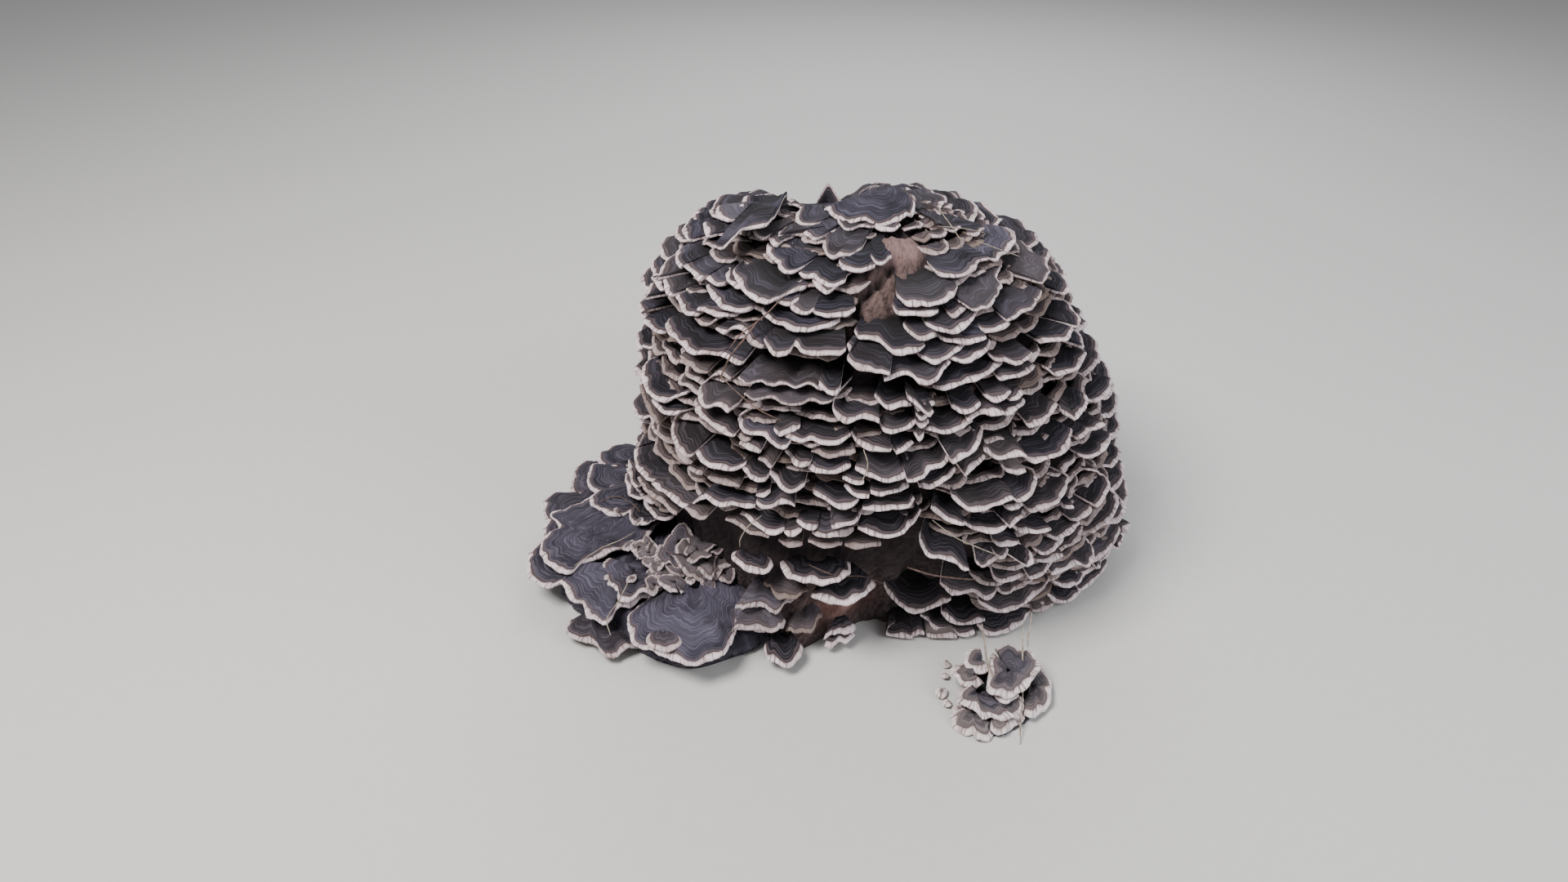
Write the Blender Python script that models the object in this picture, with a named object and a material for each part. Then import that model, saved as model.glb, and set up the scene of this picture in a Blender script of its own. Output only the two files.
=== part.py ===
"""A turkey tail fungus: overlapping thin brackets in tiers all over a rotten tree stump.

Lengths in the tables are millimetres and bearings are degrees round the stump, 0 at the front
and growing towards the right. A level is the distance in millimetres up the mound's outline from the
ground, measured along the outline, so that it still tells tiers apart on the nearly flat crown.
"""

import math
import random

import bmesh
import bpy
from mathutils.bvhtree import BVHTree

MM = 0.001

# The mound's outline where the bracket edges reach: height, then the radius at each bearing.
FORM_BEARINGS = (-135, -90, -45, 0, 45, 90, 135, 180)
FORM_ROWS = (
    (0.0, (200, 205, 200, 150, 205, 255, 225, 200)),
    (40.0, (205, 208, 205, 150, 215, 268, 232, 203)),
    (80.0, (207, 210, 208, 165, 225, 262, 232, 205)),
    (120.0, (207, 212, 214, 200, 228, 250, 226, 205)),
    (160.0, (207, 208, 214, 208, 225, 241, 220, 205)),
    (200.0, (205, 203, 211, 206, 212, 224, 212, 203)),
    (240.0, (198, 201, 203, 197, 200, 202, 198, 194)),
    (280.0, (180, 193, 190, 184, 186, 182, 176, 168)),
    (310.0, (150, 174, 172, 168, 168, 158, 142, 132)),
    (335.0, (110, 150, 145, 142, 134, 119, 100, 88)),
    (350.0, (62, 116, 105, 102, 95, 80, 55, 42)),
    (357.0, (22, 58, 52, 48, 42, 38, 22, 15)),
    (358.5, (0, 0, 0, 0, 0, 0, 0, 0)),
)

CRUST_DEPTH_WALL = 24.0  # how far the fused bracket bases lie behind the bracket edges
CRUST_DEPTH_TOP = 9.0
CRUST_THICK = 10.0
CRUST_SPARE = 5.0  # depth that the fit onto the wood cuts away again
FIT_GAP = 0.4  # between the bases and the wood
CLUMP_GAP = 0.25  # each side of a join between two clumps
BRACKET_CLEAR = 0.8
EDGE_THICK = 2.2
ROOT_THICK = 11.0
DROOP = 6.0  # how much lower a bracket's edge hangs than its root
SKIN_STEPS = (1.6, 1.75, 1.5, 1.9, 1.65, 1.55, 2.0, 1.7)
GROUND_FLAT = 0.35

GRID_BEARINGS = tuple(range(-85, 6, 15)) + (10,) + tuple(range(20, 275, 15))
GRID_HEIGHTS = (0, 52, 104, 128, 170, 212, 252, 291)
GRID_LEVELS = (352, 396, 440)
CROWN_RING = 7

# left bearing, right bearing, level, rise of the right end, reach past the outline
CROWN = (
    (-101, -75, 398, 0, 3), (-77, -54, 402, 24, 2), (-97, -82, 352, 0, 0),
    (-80, -48, 344, 0, 2), (-50, -19, 352, 0, 4), (-73, -51, 316, 0, 0), (-57, -35, 334, 0, 0),
    (-86, -74, 310, 0, 0), (-33, -11, 336, 0, 2), (-20, -7, 353, 0, 0), (-40, -12, 384, -4, 2),
    (-62, -42, 440, 0, 0), (-46, -31, 426, 0, 0), (-31, -8, 416, 3, 2),
    (-19, 21, 400, 6, 2), (7, 25, 362, 2, 2), (3, 28, 345, 0, 0),
    (10, 31, 327, 0, 0), (17, 44, 385, 0, 2), (24, 52, 408, 0, 0),
    (48, 75, 440, 0, 0), (52, 80, 403, 0, 0), (48, 84, 374, 0, 2),
    (24, 45, 350, 8, 0), (36, 60, 330, 5, 4), (60, 84, 336, 0, 0), (70, 88, 312, 0, 0),
    (52, 68, 314, 0, 0), (26, 42, 322, 0, 0), (-7, 12, 324, -8, 2),
    (11, 31, 308, 0, 2), (-9, 5, 305, 0, 2), (-41, -29, 317, -6, 0),
    (-29, -9, 312, 0, 2), (40, 54, 304, 0, 0), (-35, 35, 447, 0, 0),
)
BELLY = (
    (-62, -34, 289, 4, 2), (-84, -66, 270, 6, 0), (-60, -44, 268, 0, -4),
    (-72, -46, 230, 6, 6), (-46, -31, 250, 0, 5),
    (-46, -31, 230, 0, 2), (-32, -18, 243, -4, 5), (-54, -42, 202, 0, 6),
    (-43, -28, 206, 4, 4), (-30, -12, 274, 0, 0), (-19, -6, 245, 0, 2),
    (-11, 0, 262, 0, 5), (-1, 8, 275, 0, 0), (0, 9.5, 256, 3, 0),
    (-6, 8, 238, 0, 3), (-20, -6, 224, 0, 0),
    (-5, 8.5, 215, 3, 3), (-14, -3, 198, -4, 0), (-3, 9, 190, 0, 2),
    (-18, -3, 172, 2, 0), (-4, 9.5, 165, 0, 2),
    (-16, 6, 147, 0, -4), (-29, -16, 205, -4, 0),
    (-77, -55, 144, 0, 6), (-60, -44, 148, 4, 3),
    (-46, -30, 169, 2, 2), (-30, -17, 183, 4, 0), (-34, -15, 156, 0, 2),
    (-84, -63, 184, 0, 0), (-84, -71, 212, 0, 0), (-84, -72, 246, 0, 0),
    (-60, -44, 180, 0, -2),
)
FLANK = (
    (12, 27, 287, 0, 2), (28, 41, 289, 0, 0), (44, 70, 287, 0, 0),
    (66, 82, 272, 0, 0), (30, 41, 274, 0, 0),
    (20, 31, 258, 0, 0), (11, 21, 254, 0, 0), (16, 26, 270, 0, 0),
    (31, 38, 254, 4, 0), (36, 50, 236, 6, 3),
    (47, 62, 224, 0, 4), (46, 66, 260, 0, 4), (60, 80, 216, 0, 4), (52, 76, 196, -6, 3),
    (36, 51, 202, 0, 3), (25, 37, 218, 0, 2), (11, 25, 228, 6, 0),
    (11, 26, 210, 5, 0), (58, 74, 172, 0, 0),
    (16, 37, 184, 0, 4), (34, 48, 167, 4, 4), (11, 31, 165, -4, 0),
    (31, 42, 147, 0, 0), (41, 57, 128, 4, 2), (48, 65, 142, 0, 5),
    (24, 36, 126, 0, 0), (11, 23, 136, -8, 4),
    (76, 94, 196, 0, 0), (78, 94, 240, 0, 0), (74, 94, 150, 0, 0), (66, 88, 122, 0, 0),
    (80, 94, 284, 0, 0),
)
FOOT = (
    (46, 61, 66, 0, 0), (38, 50, 88, 0, 0), (30, 49, 38, 2, 3), (20, 30, 69, 0, 0),
    (7, 25, 40, 0, 3), (21, 34, 22, 0, 3), (34, 50, 6, 0, 5),
    (50, 64, 30, 0, 0), (63, 76, 44, 0, 0),
    (75, 92, 50, 0, 0), (60, 80, 84, 0, 3), (28, 39, 90, 0, 3),
    (66, 86, 16, 0, 0), (9, 20, 8, 0, 6),
)

# Flat fans low at the left: centre x and y, radius, squash along the facing, facing bearing, edge height
SPREAD = (
    (-222, -62, 70, 1.0, -100, 52), (-226, -96, 82, 0.9, -70, 36), (-205, -112, 72, 1.0, -45, 46),
    (-148, -166, 62, 1.0, -20, 42), (-110, -168, 30, 0.9, -10, 34), (-228, -168, 44, 0.7, -35, 14),
    (-236, 58, 27, 1.0, -100, 62), (-238, 24, 33, 1.0, -95, 58), (-262, 12, 30, 1.0, -95, 42),
    (-270, -38, 45, 1.0, -90, 34), (-224, -12, 36, 1.0, -95, 64), (-150, -205, 48, 0.7, -10, 20),
)
SPREAD_PAD = (
    (-182, 62), (-226, 58), (-262, 14), (-276, -40), (-278, -96), (-250, -146), (-214, -176),
    (-160, -204), (-112, -194), (-96, -176), (-104, -150),
)
SPREAD_PAD_TOP = 30.0
ROSETTE = (
    (121, -224, 28, 1.0, 10, 34), (100, -208, 17, 1.0, -40, 30), (90, -226, 18, 1.0, -60, 24),
    (101, -249, 27, 0.85, 0, 20), (109, -266, 19, 0.9, 10, 12), (86, -272, 21, 0.85, -20, 8),
    (133, -246, 24, 1.0, 40, 18),
)
ROSETTE_PAD = ((92, -222), (84, -246), (92, -266), (112, -268), (130, -256), (134, -232), (118, -222))
ROSETTE_PAD_TOP = 14.0
# brackets that stand alone on the bare wood in front: name, left, right, height, radius of the edge
LONE = (
    ("lone_bracket_left", -33, -22, 103, 214),
    ("lone_bracket_middle", -20, -5, 102, 209),
    ("lone_bracket_right", -15, 4, 80, 188),
    ("low_bracket_front", -11, 1, 10, 168),
    ("low_bracket_side", -24, -14.5, 14, 206),
)
ROOT_RIDGE = ((150, -170, 24), (118, -196, 18), (104, -216, 13))  # x, y, half width of the root to the rosette

BACK_TIER_STEP = 28.0
BACK_SEED = 11


def wrap(degrees):
    return (degrees + 180.0) % 360.0 - 180.0


def spline(a, b, c, d, t):
    return 0.5 * (2 * b + (c - a) * t + (2 * a - 5 * b + 4 * c - d) * t * t + (3 * b - a - 3 * c + d) * t ** 3)


def row_radius(row, bearing):
    """Radius of one row of the outline at any bearing."""
    radii = FORM_ROWS[max(0, min(row, len(FORM_ROWS) - 1))][1]
    place = ((bearing + 135.0) % 360.0) / 45.0
    i = int(place)
    return spline(*(radii[(i + k) % 8] for k in (-1, 0, 1, 2)), place - i)


def level_table():
    means = [sum(radii) / 8.0 for _, radii in FORM_ROWS]
    levels = [0.0]
    for k in range(1, len(FORM_ROWS)):
        levels.append(levels[-1] + math.hypot(FORM_ROWS[k][0] - FORM_ROWS[k - 1][0], means[k] - means[k - 1]))
    return levels


LEVELS = level_table()


def outline(bearing, level):
    """Radius and height of the mound's outline."""
    level = max(0.0, min(level, LEVELS[-1]))
    k = 0
    while k < len(LEVELS) - 2 and LEVELS[k + 1] <= level:
        k += 1
    t = (level - LEVELS[k]) / (LEVELS[k + 1] - LEVELS[k])
    heights = [FORM_ROWS[max(0, min(k + j, len(FORM_ROWS) - 1))][0] for j in (-1, 0, 1, 2)]
    if k >= len(LEVELS) - 3:
        radius = row_radius(k, bearing) * (1 - t) + row_radius(k + 1, bearing) * t
        height = heights[1] * (1 - t) + heights[2] * t
    else:
        radius = spline(*(row_radius(k + j, bearing) for j in (-1, 0, 1, 2)), t)
        height = spline(*heights, t)
    return max(radius, 0.0), height


def crust_depth(level):
    """How deep the fused bases lie under the outline: less on the crown, where brackets lie like shingles."""
    t = max(0.0, min(1.0, (level - 290.0) / 110.0))
    return CRUST_DEPTH_WALL * (1 - t) + CRUST_DEPTH_TOP * t


def under(bearing, level, extra):
    """A point below the outline, by the crust's depth and this much more."""
    radius, height = outline(bearing, level)
    r1, z1 = outline(bearing, level + 3.0)
    r0, z0 = outline(bearing, level - 3.0)
    length = math.hypot(r1 - r0, z1 - z0) or 1.0
    depth = crust_depth(level) + extra
    return max(0.5, radius - depth * (z1 - z0) / length), height + depth * (r1 - r0) / length


def notch(bearing, height):
    """1 where the bare wood stands forward at the foot of the front, 0 elsewhere."""
    side = max(0.0, 1.0 - (abs(wrap(bearing + 10.0)) / 28.0) ** 4)
    return side * max(0.0, min(1.0, (100.0 - height) / 16.0))


def ring_point(bearing, ring, extra):
    """A point of the shared grid: rings go by height up to the crown and by level on it."""
    if ring < len(GRID_HEIGHTS):
        height = float(GRID_HEIGHTS[ring])
        low, high = 0.0, 400.0
        for _ in range(24):
            middle = 0.5 * (low + high)
            if under(bearing, middle, extra)[1] < height:
                low = middle
            else:
                high = middle
        radius = under(bearing, low, extra)[0] if ring else under(bearing, 3.0, extra)[0]
        return radius + notch(bearing, height) * 26.0, height
    return under(bearing, GRID_LEVELS[ring - len(GRID_HEIGHTS)], extra)


def polar(bearing, radius, height):
    a = math.radians(bearing)
    return (radius * math.sin(a), -radius * math.cos(a), height)


def skin_depth(bearing, radius, height):
    """Distance from a point to the outline at its bearing, and the crust's depth there."""
    best = 1e9
    at = 0.0
    for k in range(0, 72):
        level = k * 7.0
        r, z = outline(bearing, level)
        d = math.hypot(r - radius, z - height)
        if d < best:
            best = d
            at = level
    return best, crust_depth(at)


def owner(bearing, ring):
    """Which clump holds a cell of the grid, named by its middle bearing and the ring under it."""
    bearing = wrap(bearing)
    if ring >= CROWN_RING:
        bare = -10.0 < bearing < 8.0 and ring == CROWN_RING
        return None if bare else "crown_brackets"
    height = 0.5 * (GRID_HEIGHTS[ring] + GRID_HEIGHTS[ring + 1])
    if -85.0 < bearing < 10.0:
        return "belly_brackets" if height > 128.0 else None
    if 10.0 < bearing < 95.0:
        return "flank_brackets" if height > 104.0 else "foot_brackets"
    if -115.0 < bearing < -85.0 and height < 104.0:
        return None
    return "back_brackets"


def new_object(name, vertices, faces, material=None):
    mesh = bpy.data.meshes.new(name)
    mesh.from_pydata([tuple(c * MM for c in v) for v in vertices], [], faces)
    mesh.validate()
    mesh.update()
    made = bpy.data.objects.new(name, mesh)
    bpy.context.scene.collection.objects.link(made)
    if material is not None:
        mesh.materials.append(material)
    return made


def helper(made):
    made.hide_render = True
    made.display_type = "WIRE"
    return made


def material(name, colour, roughness):
    made = bpy.data.materials.new(name)
    made.use_nodes = True
    shader = made.node_tree.nodes["Principled BSDF"]
    shader.inputs["Base Color"].default_value = (*colour, 1.0)
    shader.inputs["Roughness"].default_value = roughness
    made.diffuse_color = (*colour, 1.0)
    return made


def stump_mesh(extra, foot):
    """The closed surface of the wood, on the shared grid, with its foot at this height."""
    columns = len(GRID_BEARINGS)
    rings = len(GRID_HEIGHTS) + len(GRID_LEVELS)
    vertices = []
    for ring in range(rings):
        for bearing in GRID_BEARINGS:
            radius, height = ring_point(bearing, ring, CRUST_THICK + extra)
            vertices.append(polar(bearing, radius, height if ring else foot))
    top = FORM_ROWS[-1][0] - CRUST_DEPTH_TOP - CRUST_THICK - extra
    vertices.append((0.0, 0.0, top))
    vertices.append((0.0, 0.0, foot))
    faces = []
    for ring in range(rings - 1):
        for k in range(columns):
            a = ring * columns + k
            b = ring * columns + (k + 1) % columns
            faces.append((a, b, b + columns))
            faces.append((a, b + columns, a + columns))
    last = (rings - 1) * columns
    for k in range(columns):
        faces.append((last + k, last + (k + 1) % columns, len(vertices) - 2))
        faces.append(((k + 1) % columns, k, len(vertices) - 1))
    return vertices, faces


def crust_mesh(name):
    """The bases of a clump's brackets, grown together on the wood."""
    columns = len(GRID_BEARINGS)
    rings = len(GRID_HEIGHTS) + len(GRID_LEVELS)

    def held(k, ring):
        if ring < 0 or ring >= rings:
            return False
        k %= columns
        after = GRID_BEARINGS[(k + 1) % columns]
        after += 360.0 if after < GRID_BEARINGS[k] else 0.0
        if ring == rings - 1:
            return name == "crown_brackets"
        return owner(0.5 * (GRID_BEARINGS[k] + after), ring) == name

    vertices = []
    index = {}

    def corner(k, ring, outer):
        k %= columns
        if (k, ring, outer) in index:
            return index[(k, ring, outer)]
        cells = [held(k - 1, ring - 1), held(k, ring - 1), held(k - 1, ring), held(k, ring)]
        side = (cells[1] or cells[3]) - (cells[0] or cells[2])
        lift = (cells[2] or cells[3]) - (cells[0] or cells[1])
        extra = 0.0 if outer else CRUST_THICK + CRUST_SPARE
        radius, height = ring_point(GRID_BEARINGS[k], ring, extra)
        bearing = GRID_BEARINGS[k] + side * math.degrees(CLUMP_GAP / max(radius, 20.0))
        if ring:
            height += lift * CLUMP_GAP
        index[(k, ring, outer)] = len(vertices)
        vertices.append(polar(bearing, radius, height))
        return index[(k, ring, outer)]

    faces = []
    for ring in range(rings - 1):
        for k in range(columns):
            if not held(k, ring):
                continue
            for outer in (True, False):
                quad = [corner(k, ring, outer), corner(k + 1, ring, outer),
                        corner(k + 1, ring + 1, outer), corner(k, ring + 1, outer)]
                faces.append(tuple(quad if outer else quad[::-1]))
            walls = (
                (held(k - 1, ring), (k, ring + 1), (k, ring)),
                (held(k + 1, ring), (k + 1, ring), (k + 1, ring + 1)),
                (held(k, ring - 1), (k, ring), (k + 1, ring)),
                (held(k, ring + 1), (k + 1, ring + 1), (k, ring + 1)),
            )
            for inside, first, second in walls:
                if not inside:
                    faces.append((corner(*second, True), corner(*first, True),
                                  corner(*first, False), corner(*second, False)))
    if name == "crown_brackets":
        for outer in (True, False):
            apex = len(vertices)
            drop = CRUST_DEPTH_TOP + (0.0 if outer else CRUST_THICK + CRUST_SPARE)
            vertices.append((0.0, 0.0, FORM_ROWS[-1][0] - drop))
            for k in range(columns):
                tri = (corner(k, rings - 1, outer), corner(k + 1, rings - 1, outer), apex)
                faces.append(tri if outer else tri[::-1])
    return vertices, faces


def loft(top_edge, low_edge, top_root, low_root):
    """A closed bracket between its edge, root, top and underside."""
    n = len(top_edge)
    m = len(top_root)
    vertices = top_edge + low_edge + top_root + low_root
    faces = []
    for k in range(n - 1):
        faces.append((k, n + k, n + k + 1, k + 1))
    for k in range(m - 1):
        a = 2 * n + k
        faces.append((a, a + 1, a + m + 1, a + m))
    faces.append((0, 2 * n, 2 * n + m, n))
    faces.append((n - 1, 2 * n - 1, 2 * n + 2 * m - 1, 2 * n + m - 1))
    for edge, root, turn in ((0, 2 * n, False), (n, 2 * n + m, True)):
        i = 0
        j = 0
        while i < n - 1 or j < m - 1:
            step_edge = j == m - 1 or (i < n - 1 and (i + 1) / (n - 1) <= (j + 1) / (m - 1))
            third = edge + i + 1 if step_edge else root + j + 1
            tri = (edge + i, third, root + j)
            faces.append(tri[::-1] if turn else tri)
            i += step_edge
            j += not step_edge
    return vertices, faces


def bracket(spec, limits, chance):
    """One bracket from its table line, kept inside its clump's bearings and heights."""
    left, right, level, slant, reach = spec
    first, last, floor, ceiling = limits
    middle = 0.5 * (left + right)
    half = 0.5 * (right - left)
    radius, height = outline(middle, level)
    width = 2.0 * half * math.radians(1.0) * max(radius, 60.0)
    points = 4 if width < 34.0 else 5 if width < 60.0 else 6
    roots = 2 if half < 7.0 else 3

    def clamp(bearing, r):
        margin = math.degrees(BRACKET_CLEAR / max(r, 20.0))
        if last - first > 359.0:
            return bearing
        return max(first + margin, min(bearing, last - margin))

    def level_height(z):
        return max(floor + BRACKET_CLEAR, min(z, ceiling - BRACKET_CLEAR))

    # how far back the root goes, until it is in the crust
    back = 0.0
    lift = DROOP
    while back < 70.0:
        depth, crust = skin_depth(middle, max(radius - back, 1.0), height + lift * back / 30.0)
        if depth >= crust + 0.5 * CRUST_THICK or back > radius - 4.0:
            break
        back += 2.0
    top_edge = []
    low_edge = []
    for k in range(points):
        turn = math.radians(-80.0 + 160.0 * k / (points - 1))
        across = math.copysign(abs(math.sin(turn)) ** 0.85, math.sin(turn))
        out = abs(math.cos(turn)) ** 0.55
        bearing = middle + half * across
        tier = level + 0.5 * slant * across
        r, z = outline(bearing, tier)
        r = r - back * (1.0 - out) + (reach + 2.4 * (chance.random() - 0.5)) * out
        z = z + 1.6 * (chance.random() - 0.5) + 0.4 * lift * (1.0 - out)
        bearing = clamp(bearing, r)
        top_edge.append(polar(bearing, r, level_height(z)))
        low_edge.append(polar(bearing, r - 0.6, level_height(z) - EDGE_THICK if z - EDGE_THICK > floor + 0.8
                              else floor + 0.8 * BRACKET_CLEAR - 0.3))
    top_root = []
    low_root = []
    for k in range(roots):
        across = -0.88 + 1.76 * k / (roots - 1)
        bearing = middle + half * across
        tier = level + 0.5 * slant * across
        r, z = outline(bearing, tier)
        r = max(r - back, 2.0)
        z = level_height(z + lift)
        low = z - ROOT_THICK
        for _ in range(14):
            depth, crust = skin_depth(bearing, r, low)
            if depth >= crust + 0.4 * CRUST_THICK:
                break
            low -= 1.5
        bearing = clamp(bearing, r)
        top_root.append(polar(bearing, r, z))
        low_root.append(polar(bearing, r, max(low, floor + BRACKET_CLEAR - 0.3) if low < z - 3.0 else z - 3.0))
    return loft(top_edge, low_edge, top_root, low_root)


def fan(spec, base, chance, keep_out):
    """One flat fan: a disc with a thin edge, thick in the middle down to the pad it grows on."""
    x, y, radius, squash, facing, edge = spec
    a = math.radians(facing)
    forward = (math.sin(a), -math.cos(a))
    side = (math.cos(a), math.sin(a))
    count = 8 if radius < 40 else 10

    def place(along, across, z):
        px = x + forward[0] * along * squash + side[0] * across
        py = y + forward[1] * along * squash + side[1] * across
        r = math.hypot(px, py)
        if r < keep_out:
            px *= keep_out / r
            py *= keep_out / r
        return (px, py, z)

    vertices = []
    rings = ((1.0, 0.0), (0.99, -EDGE_THICK), (0.42, -9.0))
    wobble = [1.0 + 0.07 * (chance.random() - 0.5) for _ in range(count)]
    tilt = [1.5 * (chance.random() - 0.5) for _ in range(count)]
    for share, lift in rings:
        for k in range(count):
            t = 2.0 * math.pi * k / count
            r = radius * share * wobble[k]
            z = max(edge + lift + tilt[k] * share, 0.6)
            vertices.append(place(r * math.cos(t), r * math.sin(t), z))
    top = len(vertices)
    vertices.append(place(0.0, 0.0, edge + 4.0))
    low = len(vertices)
    vertices.append(place(0.0, 0.0, base))
    faces = []
    for k in range(count):
        n = (k + 1) % count
        faces.append((k, n, top))
        for ring in range(2):
            faces.append((ring * count + n, ring * count + k, (ring + 1) * count + k, (ring + 1) * count + n))
        faces.append((2 * count + n, 2 * count + k, low))
    return vertices, faces


def pad(corners, top, inset):
    """The low fused base under fans, cut off flat at the ground."""
    cx = sum(c[0] for c in corners) / len(corners)
    cy = sum(c[1] for c in corners) / len(corners)
    count = len(corners)
    vertices = [(x, y, 0.0) for x, y in corners]
    vertices += [(x, y, 0.5 * top) for x, y in corners]
    vertices += [(cx + (x - cx) * inset, cy + (y - cy) * inset, top) for x, y in corners]
    faces = [tuple(range(count))[::-1], tuple(range(2 * count, 3 * count))]
    for ring in range(2):
        for k in range(count):
            n = (k + 1) % count
            a = ring * count
            faces.append((a + k, a + n, a + count + n, a + count + k))
    area = 0.0
    for k in range(count):
        n = (k + 1) % count
        area += corners[k][0] * corners[n][1] - corners[n][0] * corners[k][1]
    if area < 0:
        faces = [face[::-1] for face in faces]
    return vertices, faces


def signed_volume(vertices, faces):
    total = 0.0
    for face in faces:
        ax, ay, az = vertices[face[0]]
        for k in range(1, len(face) - 1):
            bx, by, bz = vertices[face[k]]
            cx, cy, cz = vertices[face[k + 1]]
            total += ax * (by * cz - bz * cy) - ay * (bx * cz - bz * cx) + az * (bx * cy - by * cx)
    return total / 6.0


def outward(shape):
    vertices, faces = shape
    if signed_volume(vertices, faces) < 0:
        faces = [face[::-1] for face in faces]
    return vertices, faces


def joined(shapes):
    vertices = []
    faces = []
    for shape_vertices, shape_faces in shapes:
        start = len(vertices)
        vertices += shape_vertices
        faces += [tuple(start + i for i in face) for face in shape_faces]
    return vertices, faces


def boolean(made, other, operation):
    modifier = made.modifiers.new(operation.lower(), "BOOLEAN")
    modifier.operation = operation
    modifier.object = other
    modifier.solver = "EXACT"
    modifier.use_self = operation == "UNION"
    return modifier


def solid_only(made):
    """Applies the joins and fills the pockets that overlapping brackets close off."""
    bpy.context.view_layer.update()
    graph = bpy.context.evaluated_depsgraph_get()
    mesh = bpy.data.meshes.new_from_object(made.evaluated_get(graph), depsgraph=graph)
    work = bmesh.new()
    work.from_mesh(mesh)
    waiting = set(work.faces)
    parts = []
    while waiting:
        front = [waiting.pop()]
        part = []
        while front:
            face = front.pop()
            part.append(face)
            for edge in face.edges:
                for near in edge.link_faces:
                    if near in waiting:
                        waiting.discard(near)
                        front.append(near)
        parts.append(part)
    parts.sort(key=len, reverse=True)
    for part in parts[1:]:
        bmesh.ops.delete(work, geom=part, context="FACES")
    work.to_mesh(mesh)
    work.free()
    made.modifiers.clear()
    made.data = mesh
    return made


def crosses_itself(mesh):
    """Whether two facets cross or an edge doesn't join just two of them."""
    work = bmesh.new()
    work.from_mesh(mesh)
    bmesh.ops.triangulate(work, faces=work.faces[:])
    found = any(len(edge.link_faces) != 2 for edge in work.edges)
    corners = [{vertex.index for vertex in face.verts} for face in work.faces]
    tree = BVHTree.FromBMesh(work, epsilon=0.0)
    found = found or any(not corners[a] & corners[b] for a, b in tree.overlap(tree) if a < b)
    work.free()
    return found


def resurfaced(made, facets, wood_tool=None):
    """Gives the joined brackets one even closed skin, thins it and fits it back onto the wood."""
    solid_only(made)
    joins = made.data
    for step in SKIN_STEPS:
        made.data = joins
        skin = made.modifiers.new("skin", "REMESH")
        skin.mode = "VOXEL"
        skin.voxel_size = step * MM
        solid_only(made)
        made.data.calc_loop_triangles()
        fewer = made.modifiers.new("fewer", "DECIMATE")
        fewer.decimate_type = "COLLAPSE"
        fewer.ratio = facets / len(made.data.loop_triangles)
        solid_only(made)
        for vertex in made.data.vertices:
            if vertex.co.z < GROUND_FLAT * MM:
                vertex.co.z = 0.0
        if wood_tool is not None:
            boolean(made, wood_tool, "DIFFERENCE")
            solid_only(made)
        if not crosses_itself(made.data):
            break
    return made


def back_brackets():
    """The far side, which the photo doesn't show, goes on in the same tiers."""
    chance = random.Random(BACK_SEED)
    specs = []
    tier = 0
    level = 9.0
    while level < 296.0:
        bearing = 96.0 + 9.0 * chance.random()
        stop = 274.0 if level > 104.0 else 244.0
        while bearing < stop - 8.0:
            width = 18.0 + 14.0 * chance.random()
            right = min(bearing + width, stop)
            specs.append((bearing, right, level + 7.0 * (chance.random() - 0.5),
                          6.0 * (chance.random() - 0.5), 4.0 * (chance.random() - 0.4)))
            bearing = right - 1.5 + 5.0 * chance.random()
        tier += 1
        level += BACK_TIER_STEP
    return specs


def back_crown():
    chance = random.Random(BACK_SEED + 1)
    specs = []
    for level in (310.0, 338.0, 368.0, 404.0):
        bearing = 84.0 + 8.0 * chance.random()
        while bearing < 262.0:
            width = (21.0 + 12.0 * chance.random()) * (1.0 + max(0.0, level - 330.0) / 110.0)
            right = min(bearing + width, 276.0)
            specs.append((bearing, right, level + 6.0 * (chance.random() - 0.5),
                          6.0 * (chance.random() - 0.5), 3.0 * (chance.random() - 0.4)))
            bearing = right - 2.0 + 5.0 * chance.random()
    return specs


def clump(name, specs, limits, paint, seed, facets, wood_tool):
    chance = random.Random(seed)
    base = new_object(name, *outward(crust_mesh(name)), paint)
    shapes = [outward(bracket(spec, limits, chance)) for spec in specs]
    tool = helper(new_object(name + "_brackets_tool", *joined(shapes)))
    boolean(base, tool, "UNION")
    return resurfaced(base, facets, wood_tool)


def lone_bracket(name, left, right, height, edge, cutter, paint, seed):
    chance = random.Random(seed)
    middle = 0.5 * (left + right)
    half = 0.5 * (right - left)
    top_edge = []
    low_edge = []
    points = 8
    for k in range(points):
        turn = math.radians(-84.0 + 168.0 * k / (points - 1))
        across = math.copysign(abs(math.sin(turn)) ** 0.85, math.sin(turn))
        out = abs(math.cos(turn)) ** 0.55
        r = edge - 46.0 * (1.0 - out) + 2.0 * (chance.random() - 0.5)
        z = max(height + 1.6 * (chance.random() - 0.5), 3.4)
        top_edge.append(polar(middle + half * across, r, z))
        low_edge.append(polar(middle + half * across, r - 0.6, max(z - EDGE_THICK, 0.7)))
    top_root = []
    low_root = []
    for k in range(3):
        bearing = middle + 0.9 * half * (k - 1)
        top_root.append(polar(bearing, edge - 64.0, height + DROOP))
        low_root.append(polar(bearing, edge - 64.0, max(height + DROOP - ROOT_THICK, 0.9)))
    made = new_object(name, *outward(loft(top_edge, low_edge, top_root, low_root)), paint)
    boolean(made, cutter, "DIFFERENCE")
    return made


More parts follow.
